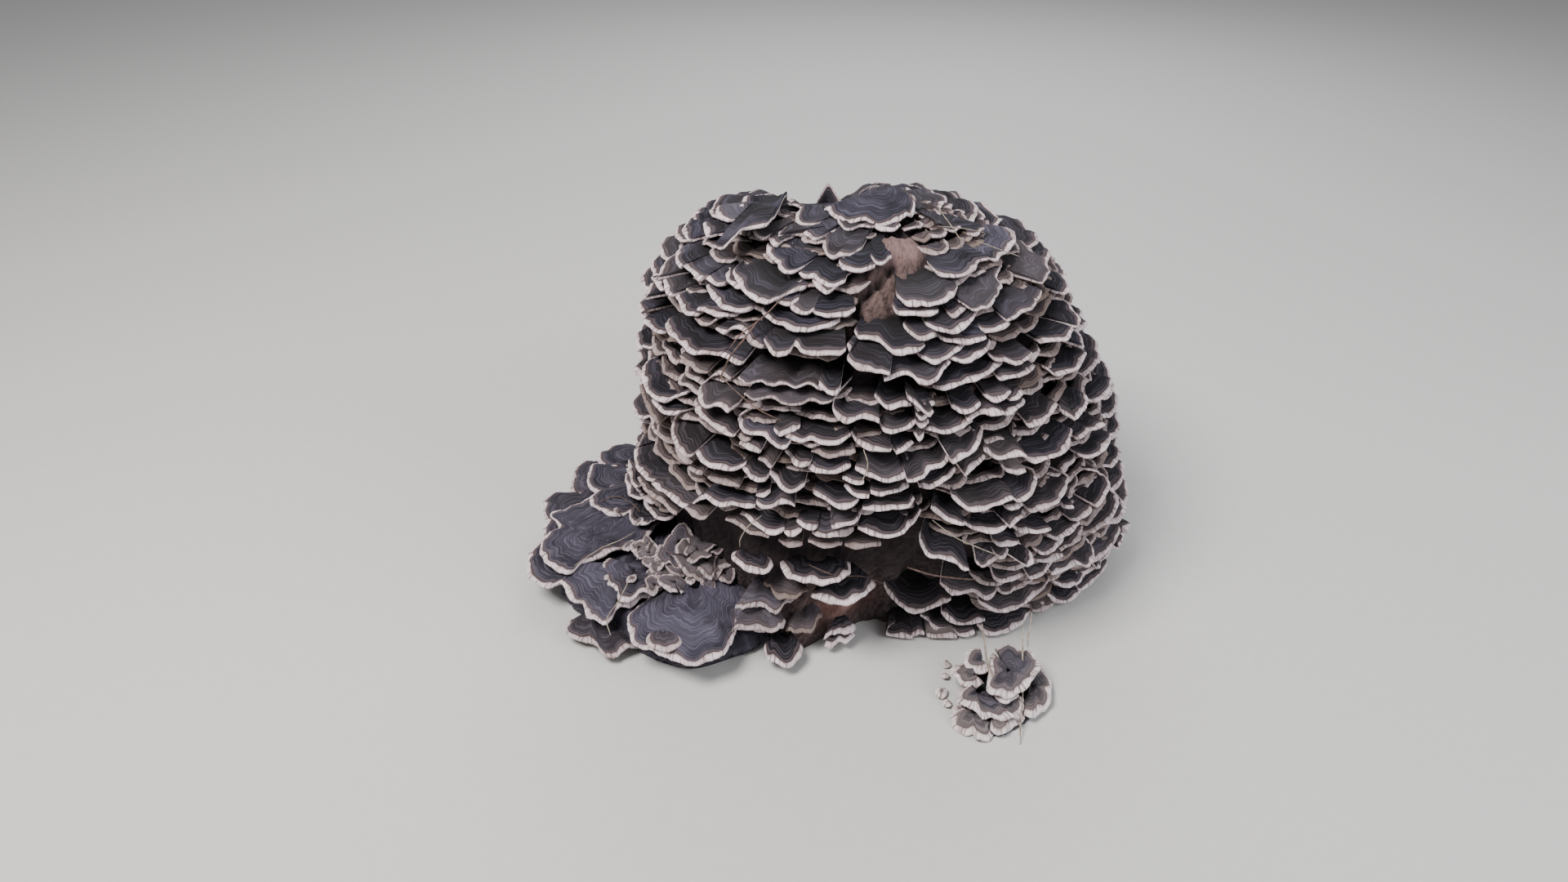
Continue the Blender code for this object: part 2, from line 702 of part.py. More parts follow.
def root_ridge():
    """The root that carries the small rosette in front, a low ridge cut flat at the ground."""
    vertices = []
    faces = []
    for x, y, half in ROOT_RIDGE:
        for share, rise in ((-1.0, 0.0), (-0.75, 0.6), (0.0, 1.0), (0.75, 0.6), (1.0, 0.0)):
            vertices.append((x + 0.8 * half * share, y + 0.5 * half * share, 0.75 * half * rise))
    for ring in range(len(ROOT_RIDGE) - 1):
        for k in range(4):
            a = 5 * ring + k
            faces.append((a, a + 1, a + 6, a + 5))
        faces.append((5 * ring + 4, 5 * ring, 5 * ring + 5, 5 * ring + 9))
    faces.append((0, 1, 2, 3, 4))
    end = 5 * (len(ROOT_RIDGE) - 1)
    faces.append((end + 4, end + 3, end + 2, end + 1, end))
    return vertices, faces


def build():
    for old in list(bpy.data.objects):
        bpy.data.objects.remove(old, do_unlink=True)
    wood = material("rotten_wood", (0.16, 0.10, 0.08), 0.9)
    slate = material("slate_caps", (0.12, 0.115, 0.13), 0.8)
    pale = material("pale_caps", (0.42, 0.37, 0.35), 0.8)
    lavender = material("lavender_caps", (0.20, 0.19, 0.24), 0.75)

    stump = new_object("stump", *outward(stump_mesh(0.0, 0.0)), wood)
    cutter = helper(new_object("stump_fit_tool", *outward(stump_mesh(-FIT_GAP, -4.0))))

    clump("crown_brackets", list(CROWN) + back_crown(), (-180.0, 180.0, 291.0, 400.0), slate, 1, 2450, cutter)
    clump("belly_brackets", BELLY, (-85.0, 10.0, 128.0, 291.0), slate, 2, 1280, cutter)
    clump("flank_brackets", FLANK, (10.0, 95.0, 104.0, 291.0), slate, 3, 1380, cutter)
    clump("foot_brackets", FOOT, (5.0, 95.0, 0.0, 104.0), slate, 4, 660, cutter)
    clump("back_brackets", back_brackets(), (95.0, 275.0, 0.0, 291.0), slate, 5, 1750, cutter)

    chance = random.Random(6)
    spread = new_object("spread_brackets", *outward(pad(SPREAD_PAD, SPREAD_PAD_TOP, 0.8)), lavender)
    fans = [outward(fan(spec, 8.0, chance, 186.0)) for spec in SPREAD]
    boolean(spread, helper(new_object("spread_fans_tool", *joined(fans))), "UNION")
    resurfaced(spread, 640, cutter)

    rosette = new_object("front_rosette", *outward(pad(ROSETTE_PAD, ROSETTE_PAD_TOP, 0.75)), pale)
    fans = [outward(fan(spec, 5.0, chance, 0.0)) for spec in ROSETTE]
    boolean(rosette, helper(new_object("rosette_fans_tool", *joined(fans))), "UNION")
    resurfaced(rosette, 380, cutter)

    for seed, spec in enumerate(LONE):
        lone_bracket(*spec, cutter, slate, 20 + seed)
    return stump


build()
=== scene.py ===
"""Turkey tail fungus on its rotten stump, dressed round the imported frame.

Every cap is a thin wavy shelf of its own. The caps that the photograph shows on the mound are placed by
the pixels of their rims, each on the stump's outline where its line of sight meets it. The caps at the
back and low at the left side are placed by their bearing and their level up that outline, and the caps on
the ground by their rims in plan. Lengths in the tables are millimetres, and bearings are degrees, 0 at the
front and growing to the right.
"""

import math
import random

import bpy
import numpy as np
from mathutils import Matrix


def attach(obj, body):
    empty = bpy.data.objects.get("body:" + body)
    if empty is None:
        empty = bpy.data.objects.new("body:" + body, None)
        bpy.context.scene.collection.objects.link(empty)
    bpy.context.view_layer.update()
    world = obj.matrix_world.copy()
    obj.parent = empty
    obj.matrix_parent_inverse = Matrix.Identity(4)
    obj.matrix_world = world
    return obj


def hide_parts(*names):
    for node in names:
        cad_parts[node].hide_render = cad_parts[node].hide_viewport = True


bl_info = {
    "name": "Turkey tail fungus",
    "version": (1, 0, 0),
    "blender": (4, 5, 0),
    "location": "View3D > Sidebar > Fungus",
    "description": "Builds the caps, wood and litter of a turkey tail colony round its frame",
    "category": "Add Mesh",
}

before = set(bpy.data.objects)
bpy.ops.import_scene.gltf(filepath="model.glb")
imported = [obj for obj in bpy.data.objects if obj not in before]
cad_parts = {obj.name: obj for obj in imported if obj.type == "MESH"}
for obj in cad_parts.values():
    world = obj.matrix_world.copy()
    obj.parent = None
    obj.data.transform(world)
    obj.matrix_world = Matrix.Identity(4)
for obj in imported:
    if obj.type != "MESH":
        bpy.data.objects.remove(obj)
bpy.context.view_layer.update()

MM = 0.001

# ---------------------------------------------------------------- sizes and colours a user would change


def length(name, description, default, least=0.0):
    return bpy.props.FloatProperty(
        name=name, description=description, default=default, min=least, unit="LENGTH")


def colour(name, description, *default):
    return bpy.props.FloatVectorProperty(
        name=name, description=description, default=default, min=0.0, max=1.0, subtype="COLOR")


class ColonySizes(bpy.types.PropertyGroup):
    rim_step: length("Rim step", "Spacing of the points along a cap's rim", 0.0023, 0.001)
    lip: length("Lip", "Thickness of a cap at its rim", 0.0023, 0.001)
    scallop: length("Scallop", "Depth of the lobes along a rim", 0.0012)
    ripple: length("Ripple", "Height of the waves along a rim", 0.0017)
    fused: bpy.props.FloatProperty(
        name="Fused", description="How far each cap runs on into its neighbours, as a share of its width",
        default=1.13, min=1.0)


class ColonyColours(bpy.types.PropertyGroup):
    slate_dark: colour("Slate, dark bands", "Dark bands of the caps on the mound", 0.010, 0.009, 0.012)
    slate_light: colour("Slate, light bands", "Light bands of the caps on the mound", 0.054, 0.046, 0.058)
    # painted shade: the slate's light bands made darker for the crown, which faces up into more light
    crown_light_shaded: colour("Crown, light bands", "Light bands of the caps on the crown", 0.041, 0.038, 0.056)
    slate_rim: colour("Slate, rim", "Growing rim of the caps on the mound", 0.81, 0.665, 0.70)
    lavender_dark: colour(
        "Lavender, dark bands", "Dark bands of the caps spread on the ground", 0.020, 0.018, 0.025)
    lavender_light: colour(
        "Lavender, light bands", "Light bands of the caps spread on the ground", 0.084, 0.074, 0.099)
    heap_rim: colour("Heap, rim", "Rims of the crumpled old caps", 0.46, 0.39, 0.40)
    pale_dark: colour("Pale, dark bands", "Dark bands of the rosette in front", 0.024, 0.022, 0.027)
    pale_light: colour("Pale, light bands", "Light bands of the rosette in front", 0.092, 0.080, 0.094)
    pale_rim: colour("Pale, rim", "Rims of the rosette in front", 0.80, 0.70, 0.69)
    # the wood's dark grain, and also the colour of the painted shade under the caps
    wood_dark_and_shade: colour("Wood, dark", "Damp wood in the depth", 0.022, 0.0155, 0.0175)
    wood_light: colour("Wood, bare", "Bare wood in the strip up the crown", 0.17, 0.113, 0.105)


# ---------------------------------------------------------------- outline of the colony

# rows of the outline: height, then the radius at each bearing from FIRST_BEARING on
FIRST_BEARING = -135.0
BEARING_STEP = 45.0
FORM_ROWS = (
    (0.0, (200, 205, 200, 150, 205, 255, 225, 200)),
    (40.0, (205, 208, 205, 150, 215, 268, 232, 203)),
    (80.0, (207, 210, 208, 165, 225, 262, 232, 205)),
    (120.0, (207, 212, 214, 200, 228, 250, 226, 205)),
    (160.0, (207, 208, 214, 208, 225, 241, 220, 205)),
    (200.0, (205, 203, 211, 206, 212, 224, 212, 203)),
    (240.0, (198, 201, 203, 197, 200, 202, 198, 194)),
    (280.0, (180, 193, 190, 184, 186, 182, 176, 168)),
    (310.0, (150, 174, 172, 168, 168, 158, 142, 132)),
    (335.0, (110, 150, 145, 142, 134, 119, 100, 88)),
    (350.0, (62, 116, 105, 102, 95, 80, 55, 42)),
    (357.0, (22, 58, 52, 48, 42, 38, 22, 15)),
    (358.5, (0, 0, 0, 0, 0, 0, 0, 0)),
)
LEVEL_STEP = 2.0
SLOPE_STEP = 5.0
# hollow in the crown's top: its depth, how far left its middle lies, and its half width
SADDLE_DEPTH = 25.0
SADDLE_LEFT = 40.0
SADDLE_HALF = 34.0
# how deep the wood lies under the rims, on the wall and on the top
WOOD_DEPTH_WALL = 31.0
WOOD_DEPTH_TOP = 10.0
# wood left bare in front, by the ground: bearing, half width, the heights where it ends and is whole, depth
BARE_MIDDLE = -10.0
BARE_HALF = 28.0
BARE_ENDS = 108.0
BARE_WHOLE = 88.0
BARE_DEPTH = 9.0
# red rot in that wood: bearing and half width, height and half height
ROT_BEARING = -7.0
ROT_HALF = 8.0
ROT_HEIGHT = 33.0
ROT_HALF_HEIGHT = 14.0
# root that flares out at the ground: bearing, half width, how far out
ROOT_BEARING = -19.0
ROOT_HALF = 10.0
ROOT_OUT = 30.0
# radius at which the grain of the wood is measured round it, and the step of its points, in degrees
WOOD_ROUND = 150.0
WOOD_STEP = 1.25
# bare strip of wood up the crown: level, bearing of its middle, half width, depth of the wood below the rims
STRIP = (
    (332, -5, 0, 26), (340, -5, 3, 22), (352, -5, 6, 17), (365, -2, 9, 14), (380, 1, 10, 12), (395, 5, 10, 9),
    (404, 8, 11, 6), (412, 11, 12, 2.5), (422, 13, 12, 1.5), (432, 14, 11, 2), (440, 14, 0, 6),
)


def cubic(a, b, c, d, t):
    """Smooth curve from b to c, with a and d beyond them."""
    bend = 2 * a - 5 * b + 4 * c - d
    twist = 3 * b - a - 3 * c + d
    return 0.5 * (2 * b + (c - a) * t + bend * t * t + twist * t ** 3)


def row_radii(row):
    """Radius of one outline row at every whole bearing from -180."""
    radii = FORM_ROWS[max(0, min(row, len(FORM_ROWS) - 1))][1]
    found = []
    for bearing in range(-180, 181):
        place = ((bearing - FIRST_BEARING) % 360.0) / BEARING_STEP
        i = int(place)
        found.append(cubic(*(radii[(i + k) % len(radii)] for k in (-1, 0, 1, 2)), place - i))
    return np.array(found)


def outline_tables():
    """Radius by level and bearing, and height by level."""
    rows = [row_radii(k) for k in range(len(FORM_ROWS))]
    means = [sum(radii) / len(radii) for _, radii in FORM_ROWS]
    marks = [0.0]
    for k in range(1, len(FORM_ROWS)):
        marks.append(marks[-1] + math.hypot(FORM_ROWS[k][0] - FORM_ROWS[k - 1][0], means[k] - means[k - 1]))
    radius = []
    height = []
    last = len(FORM_ROWS) - 1
    for step in range(int(marks[-1] / LEVEL_STEP) + 2):
        level = min(step * LEVEL_STEP, marks[-1])
        k = max(j for j in range(last) if marks[j] <= level)
        t = (level - marks[k]) / (marks[k + 1] - marks[k])
        if k >= last - 2:
            # straight between the topmost rows, where the outline closes
            radius.append(rows[k] * (1 - t) + rows[k + 1] * t)
            height.append(FORM_ROWS[k][0] * (1 - t) + FORM_ROWS[k + 1][0] * t)
        else:
            near = [max(0, min(k + j, last)) for j in (-1, 0, 1, 2)]
            radius.append(cubic(*(rows[j] for j in near), t))
            height.append(cubic(*(FORM_ROWS[j][0] for j in near), t))
    return np.maximum(np.array(radius), 0.0), np.array(height), marks[-1]


RADIUS_TABLE, HEIGHT_TABLE, LEVEL_TOP = outline_tables()


def outline(bearing, level):
    """Radius and height of the outline at bearings and levels, numbers or arrays."""
    bearing = (np.asarray(bearing, float) + 180.0) % 360.0
    place = np.clip(np.asarray(level, float) / LEVEL_STEP, 0.0, len(HEIGHT_TABLE) - 1.001)
    row = place.astype(int)
    t = place - row
    column = np.minimum(bearing.astype(int), 359)
    u = bearing - column
    low = RADIUS_TABLE[row, column] * (1 - u) + RADIUS_TABLE[row, column + 1] * u
    high = RADIUS_TABLE[row + 1, column] * (1 - u) + RADIUS_TABLE[row + 1, column + 1] * u
    return low * (1 - t) + high * t, HEIGHT_TABLE[row] * (1 - t) + HEIGHT_TABLE[row + 1] * t


def polar(bearing, radius, height):
    """World points in millimetres."""
    a = np.radians(bearing)
    return np.stack([radius * np.sin(a), -radius * np.cos(a), height + 0.0 * a], axis=-1)


def slope(bearing, level):
    """Unit tangent (radius, height) up the outline."""
    r0, z0 = outline(bearing, level - SLOPE_STEP)
    r1, z1 = outline(bearing, level + SLOPE_STEP)
    length = np.maximum(np.hypot(r1 - r0, z1 - z0), 1e-6)
    return (r1 - r0) / length, (z1 - z0) / length


def on_outline(bearing, level, out=0.0):
    """World points that stand out from the outline by out."""
    radius, height = outline(bearing, level)
    tr, tz = slope(bearing, level)
    return polar(bearing, radius + out * tz, height - out * tr)


def smooth(low, high, value):
    """0 at low, 1 at high, smooth between."""
    t = np.clip((np.asarray(value, float) - low) / (high - low), 0.0, 1.0)
    return t * t * (3 - 2 * t)


def saddle(points):
    """How far the crown's top sinks in a hollow that runs from its middle to its back, left of the apex."""
    x, y, z = points[:, 0], points[:, 1], points[:, 2]
    across = np.exp(-((x + SADDLE_LEFT) / SADDLE_HALF) ** 2)
    return SADDLE_DEPTH * across * smooth(-30.0, 45.0, y) * smooth(215.0, 290.0, z)


# ---------------------------------------------------------------- meshes

class Shape:
    """Vertices, faces and per-vertex values of a piece that grows shape by shape."""

    def __init__(self, sizes, coarse=1.0):
        self.sizes = sizes
        self.coarse = coarse
        self.points = []
        self.faces = []
        self.values = {"cap_zone": [], "cap_tone": []}
        self.shades = []
        self.count = 0

    def add(self, points, faces, zone, tone=(0.0, 0.0, 0.0), shade=None):
        """points (n, 3) in millimetres; zone is distance in from the rim, distance along it, and side;
        tone is blue, pale and tan; shade is how deep in the dark each point lies."""
        self.shades.append(np.zeros(len(points)) if shade is None else shade)
        self.points.append(points)
        self.faces += [tuple(self.count + i for i in face) for face in faces]
        self.values["cap_zone"].append(zone)
        self.values["cap_tone"].append(np.broadcast_to(np.asarray(tone, float), points.shape))
        self.count += len(points)

    def make(self, name, paint):
        points = np.concatenate(self.points)
        points[:, 2] = np.maximum(points[:, 2] - saddle(points), 0.0)
        mesh = bpy.data.meshes.new(name)
        mesh.from_pydata((points * MM).tolist(), [], self.faces)
        for key, parts in self.values.items():
            layer = mesh.attributes.new(key, "FLOAT_VECTOR", "POINT")
            layer.data.foreach_set("vector", np.concatenate(parts).astype(np.float32).ravel())
        layer = mesh.attributes.new("cap_shade", "FLOAT", "POINT")
        layer.data.foreach_set("value", np.concatenate(self.shades).astype(np.float32))
        mesh.polygons.foreach_set("use_smooth", [True] * len(mesh.polygons))
        mesh.update()
        made = bpy.data.objects.new(name, mesh)
        bpy.context.scene.collection.objects.link(made)
        mesh.materials.append(paint)
        return made


def ring_faces(rows, columns):
    """Quads between rows of points, the last row joined back to the first, and both end columns filled."""
    faces = []
    for i in range(rows):
        j = (i + 1) % rows
        for k in range(columns - 1):
            faces.append((i * columns + k, i * columns + k + 1, j * columns + k + 1, j * columns + k))
    faces.append(tuple(i * columns for i in range(rows)))
    faces.append(tuple(i * columns + columns - 1 for i in range(rows))[::-1])
    return faces


def turned_faces(rows, columns, turned=True):
    """Quads between rings of points, closed by two points that follow them: first the top, then the foot."""
    faces = []
    for i in range(rows - 1):
        for k in range(columns):
            n = (k + 1) % columns
            faces.append((i * columns + k, i * columns + n, (i + 1) * columns + n, (i + 1) * columns + k))
    last = (rows - 1) * columns
    for k in range(columns):
        n = (k + 1) % columns
        faces.append((last + k, last + n, rows * columns))
        faces.append((n, k, rows * columns + 1))
    return faces if turned else [face[::-1] for face in faces]


def even(points, step):
    """A line resampled at even steps; its first three columns are its place."""
    lengths = np.linalg.norm(np.diff(points[:, :3], axis=0), axis=1)
    along = np.concatenate([[0.0], np.cumsum(lengths)])
    count = max(FEWEST_POINTS, int(round(along[-1] / step)) + 1)
    at = np.linspace(0.0, along[-1], count)
    return np.stack([np.interp(at, along, column) for column in points.T], axis=-1)


def curve(points, steps=12):
    """Smooth line through the points."""
    points = np.asarray(points, float)
    padded = np.concatenate([2 * points[:1] - points[1:2], points, 2 * points[-1:] - points[-2:-1]])
    t = np.linspace(0.0, 1.0, steps, endpoint=False)[:, None]
    found = [cubic(*padded[k:k + 4], t) for k in range(len(points) - 1)]
    return np.concatenate(found + [points[-1:]])


def from_ends(count):
    """Share of a line's length from its nearer end, at evenly spread points."""
    return np.minimum(np.linspace(0, 1, count), np.linspace(1, 0, count))


def waves(along, chance, parts):
    """Sum of sines along the rim; parts are (amplitude, wavelength) in millimetres."""
    total = np.zeros_like(along)
    for size, length in parts:
        length *= chance.uniform(0.8, 1.25)
        size *= chance.uniform(0.6, 1.2)
        total += size * np.sin(2 * math.pi * along / length + chance.uniform(0, 6.3))
    return total


def scallops(along, chance, size, length):
    """Rounded lobes with narrow notches between them."""
    length *= chance.uniform(0.75, 1.3)
    bend = waves(along, chance, ((length * 0.22, length * 3.1),))
    lobes = np.abs(np.sin(math.pi * (along + bend) / length + chance.uniform(0, 3.1))) ** 0.8
    return size * (lobes - 0.62)


# ---------------------------------------------------------------- one cap

# rows of points from root to rim on the upper face, over the lip (share of the thickness, step outwards),
# and back to the root on the underside
TOP_ROWS = (0.0, 0.27, 0.5, 0.69, 0.82, 0.91, 0.97)
LIP_ROWS = ((0.15, 0.35), (0.5, 0.55), (0.94, -0.05))
UNDER_ROWS = (0.93, 0.7, 0.35, 0.0)
FEWEST_POINTS = 11
# how far a rim turns down, how far the upper face swells, and the lowest that a cap hangs over the ground
ROLL = 1.3
BOW = 1.5
LOWEST = 0.4
# width of a cap's root, as a share of the cap's width, and how far its rim stands out from the outline
TUCK = 0.5
REACH = 1.5
# shade of a cap that lies in the open
OPEN_SHADE = (70.0, 200.0)
# how freely a rim that was read off the photograph waves, and how deep its lobes are
SEEN_WAVE = 0.35
SEEN_NICKS = 0.55
# lengths of the lobes and waves along a rim
LOBE = 21.0
SMALL_LOBE = 8.0
RIM_WAVES = ((1.1, 33.0), (0.16, 2.9))
LIFT_WAVES = ((1.0, 34.0), (0.6, 16.0), (0.18, 6.5))
SQUEEZE_WAVES = ((0.28, 31.0), (0.08, 11.0))
# height of the rings on the upper face
RIDGE_HEIGHT = 0.28


def shelf(shape, chance, line, up, root_thick, shade, thick=None, wave=1.0, nicks=1.0, tone=(0, 0, 0),
          roll=ROLL, bow=BOW):
    """A thin wavy shelf. line holds, for every point of the rim, its place, the place of its root, how much
    narrower the pale rim is there, and how freely the rim waves. up is where its upper face looks, and shade
    is how far in from the rim the caps above begin to keep light off it, and have done so."""
    sizes = shape.sizes
    line = even(line, sizes.rim_step / MM * shape.coarse)
    rim, root, squeeze, free = line[:, :3], line[:, 3:6], line[:, 6], line[:, 7]
    thick = sizes.lip / MM if thick is None else thick
    up = np.asarray(up, float)
    steps = np.linalg.norm(np.diff(rim, axis=0), axis=1)
    along = np.concatenate([[0.0], np.cumsum(steps)])
    reach = np.linalg.norm(rim - root, axis=1)
    out = (rim - root) / np.maximum(reach, 1e-3)[:, None]
    size = sizes.scallop / MM * nicks
    lobes = scallops(along, chance, size * chance.uniform(0.5, 1.6), LOBE)
    swell = 0.5 + 0.5 * np.sin(along / chance.uniform(7.0, 12.0) + chance.uniform(0, 6.3))
    lobes = lobes + swell * scallops(along, chance, size * 0.5, SMALL_LOBE)
    (long_wave, long_length), fine_wave = RIM_WAVES
    lobes = lobes + waves(along, chance, ((long_wave * wave, long_length), fine_wave))
    rim = rim + out * (lobes * free)[:, None]
    height = sizes.ripple / MM * wave
    lift = waves(along, chance, [(share * height, length) for share, length in LIFT_WAVES]) * free
    ridge = chance.uniform(5.5, 8.5)
    phase = chance.uniform(0.0, 6.3)
    reach = np.linalg.norm(rim - root, axis=1)
    seed = chance.uniform(0.0, 900.0)
    squeeze = squeeze * (1.0 + np.clip(waves(along, chance, SQUEEZE_WAVES), -0.35, 0.5))
    rows = []
    zones = []
    shades = []

    def place(v, rise, side, push=0.0):
        rows.append(root + (rim - root) * v + out * push + up * rise[:, None])
        inner = (1.0 - v) * reach
        widened = 1.0 + (squeeze - 1.0) * (1.0 - smooth(6.0, 22.0, inner))
        zones.append(np.stack([inner * widened, along + seed, np.full_like(along, side)], axis=-1))
        shades.append(smooth(*shade, (1.0 - v) * reach))

    for v in TOP_ROWS:
        from_rim = (1.0 - v) * reach
        rise = lift * v ** 2 + bow * math.sin(math.pi * min(v, 0.9)) * smooth(0, 25, from_rim)
        rings = np.sin(2 * math.pi * from_rim / ridge + phase) * smooth(2.0, 7.0, from_rim)
        rise = rise + RIDGE_HEIGHT * rings
        rise = rise - roll * (1 - smooth(0.0, 5.5, from_rim)) ** 1.5
        place(v, rise, 0.0)
    for drop, push in LIP_ROWS:
        place(1.0, lift - roll - thick * drop, 0.5 * (drop > 0.9), push)
    for v in UNDER_ROWS:
        from_rim = (1.0 - v) * reach
        deep = thick + (root_thick - thick) * smooth(0.0, 1.0, 1.0 - v)
        place(v, lift * v ** 2 - roll * (1 - smooth(0.0, 9.0, from_rim)) - deep, 1.0)
    points = np.concatenate(rows)
    points[:, 2] = np.maximum(points[:, 2], LOWEST)
    shape.add(points, ring_faces(len(rows), len(rim)), np.concatenate(zones), tone, np.concatenate(shades))


def shade_at(flat):
    """How far in from a rim the shade of the caps above begins and is whole, by how flat the outline is."""
    return 8.0 + 9.0 * flat, 27.0 + 22.0 * flat


def root_at(depth):
    """Thickness of a cap's root, by how deep the cap is."""
    return min(9.0, 3.5 + 0.12 * depth)


def cap(shape, chance, left, right, level, rise, reach, tone, depth=None, bulge=1.0, thick=None, square=2.6,
        lift=0.22, nicks=1.0):
    """One cap on the outline, from its left to its right bearing."""
    middle = 0.5 * (left + right)
    half = 0.5 * (right - left) * shape.sizes.fused
    radius, height = outline(middle, level)
    wide = math.radians(half) * max(float(radius), 30.0)
    inward, side, up, flat = stand(middle, level, lift)
    if depth is None:
        depth = 36.0 + reach + chance.uniform(-2.0, 3.0) + flat * min(max(0.8 * wide - 10.0, 10.0), 34.0)
    front = min(bulge * (0.5 * wide + 5.0 + flat * 0.35 * wide), 0.85 * depth)
    turn = np.linspace(-math.pi / 2, math.pi / 2, 161)
    across = np.sign(np.sin(turn)) * np.abs(np.sin(turn)) ** (2.0 / square)
    out = np.abs(np.cos(turn)) ** (2.0 / square)
    rim_r, rim_z = outline(middle + half * across, level + 0.5 * rise * across)
    rim = polar(middle + half * across, rim_r, rim_z)
    rim = rim + inward * (front * (1 - out) - reach)[:, None]
    centre = polar(middle, radius, height) + inward * (depth + 2.0)
    root = centre + side * (wide * TUCK * across)[:, None]
    root = root + np.array([0, 0, 1.0]) * (0.4 * rise * across * TUCK)[:, None]
    squeeze = 1.0 + 0.9 * (1 - out) ** 2
    line = np.column_stack([rim, root, squeeze, np.ones_like(squeeze)])
    shelf(shape, chance, tailed(line), up, root_at(depth), shade_at(flat), thick=thick, nicks=nicks,
          tone=tone, roll=ROLL * chance.uniform(0.5, 1.5))


def stand(middle, level, lift):
    """Inward, sideways and upward directions of a cap on the outline, and how flat the outline is there."""
    tr, tz = slope(middle, level)
    nr, nz = tz, -tr
    a = abs(float(tr)) + lift * float(tz)
    b = max(float(tz), 0.14)
    ir, iz = a * tr - b * nr, a * tz - b * nz
    size = math.hypot(ir, iz)
    bearing = math.radians(middle)
    forward = np.array([math.sin(bearing), -math.cos(bearing), 0.0])
    inward = forward * (ir / size) + np.array([0, 0, iz / size])
    side = np.array([math.cos(bearing), math.sin(bearing), 0.0])
    up = np.cross(side, inward)
    up = up if up[2] > 0 else -up
    return inward, side, up, 1.0 - float(smooth(0.35, 0.75, tz))


def tailed(line):
    """The line with a tail at each end, where the cap narrows to its root."""
    shares = np.linspace(0.0, 0.85, 9)[1:]
    ends = []
    for end in (line[0], line[-1]):
        tail = np.repeat(end[None, :], len(shares), axis=0)
        tail[:, :3] += (end[3:6] - end[:3]) * shares[:, None]
        tail[:, 6] *= (1.0 + 2.5 * shares) / (1.0 - shares)
        tail[:, 7] = np.maximum(1.0 - 4.0 * shares, 0.0)
        ends.append(tail)
    return np.concatenate([ends[0][::-1], line, ends[1]])


# stretch of a line of sight that is searched for the outline, and its step
SIGHT_NEAR = 520.0
SIGHT_FAR = 1240.0
SIGHT_STEP = 2.0
# the lowest that a rim is looked for, and set
SIGHT_LOWEST = 9.0
RIM_LOWEST = 7.0
# how far a rim may stray in or out from its reach
RIM_STRAY = 9.0
RIM_STRAY_OUT = 7.0


def sight(pixels):
    """Directions of the camera's lines of sight through the photograph's pixels."""
    pitch = math.radians(CAMERA_PITCH)
    focal = CAMERA_LENS / CAMERA_SENSOR * PHOTO_WIDE
    x, y = (pixels[:, 0] - PHOTO_WIDE / 2) / focal, (pixels[:, 1] - PHOTO_HIGH / 2) / focal
    ahead = np.array([0.0, math.cos(pitch), -math.sin(pitch)])
    above = np.array([0.0, math.sin(pitch), math.cos(pitch)])
    found = ahead + x[:, None] * np.array([1.0, 0.0, 0.0]) - y[:, None] * above
    return found / np.linalg.norm(found, axis=1)[:, None]


def clearance(points):
    """How far points stand off the outline, with the bearing and the level below each."""
    height = points[..., 2] + saddle(points.reshape(-1, 3)).reshape(points.shape[:-1])
    radius = np.hypot(points[..., 0], points[..., 1])
    bearing = np.degrees(np.arctan2(points[..., 0], -points[..., 1]))
    level = np.interp(height, HEIGHT_TABLE, np.arange(len(HEIGHT_TABLE)) * LEVEL_STEP)
    near, _ = outline(bearing, level)
    _, tz = slope(bearing, level)
    return (radius - near) * tz + np.maximum(height - HEIGHT_TABLE[-1], 0.0), bearing, level


def seen_rim(pixels, reach, lift):
    """Places of a rim that the photograph shows, on a plane that stands on the outline."""
    eye = np.array(CAMERA_PLACE) / MM
    rays = sight(np.asarray(pixels, float))
    away = np.arange(SIGHT_NEAR, SIGHT_FAR, SIGHT_STEP)
    samples = eye + rays[:, None, :] * away[None, :, None]
    off, bearing, level = clearance(samples)
    off = np.where(samples[..., 2] < SIGHT_LOWEST, SIGHT_FAR, off)
    first = np.where((off < 0).any(axis=1), (off < 0).argmax(axis=1), off.argmin(axis=1))
    pick = np.arange(len(rays))
    first = np.clip(first, np.median(first) - 30, np.median(first) + 30).astype(int)
    on = eye + rays * away[first][:, None]
    middle = float(np.median(bearing[pick, first]))
    row = float(np.median(level[pick, first]))
    inward, side, up, flat = stand(middle, row, lift)
    base = on_outline(middle, row, reach)
    base[2] -= saddle(base[None, :])[0]
    steep = rays @ up
    on_plane = eye + rays * (((base - eye) @ up) / np.where(np.abs(steep) < 0.1, -0.1, steep))[:, None]
    share = smooth(0.16, 0.4, np.abs(steep))[:, None]
    rim = on + (on_plane - on) * share
    off, _, _ = clearance(rim)
    allowed = np.clip(off, reach - RIM_STRAY, reach + RIM_STRAY)
    here, _, _ = clearance(on)
    part = np.clip((allowed - here) / np.where(np.abs(off - here) < 0.5, 0.5, off - here), 0.0, 1.0)
    rim = on + (rim - on) * part[:, None]
    rim[:, 2] = np.maximum(rim[:, 2], RIM_LOWEST) + saddle(rim)
    return drawn_in(rim, reach + RIM_STRAY_OUT), inward, up, flat


def drawn_in(points, most):
    """The points, none of them further off the outline than most."""
    bearing = np.degrees(np.arctan2(points[:, 0], -points[:, 1]))
    radius, height = outline(bearing[:, None], np.arange(0.0, LEVEL_TOP, 3.0)[None, :])
    own = np.hypot(points[:, 0], points[:, 1])
    height = height + 0.0 * radius
    away = np.hypot(radius - own[:, None], height - points[:, 2:3])
    near = away.argmin(axis=1)
    pick = np.arange(len(points))
    gone = away[pick, near]
    share = np.clip(1.0 - most / np.maximum(gone, 0.1), 0.0, 1.0)
    own = own + (radius[pick, near] - own) * share
    return polar(bearing, own, points[:, 2] + (height[pick, near] - points[:, 2]) * share)


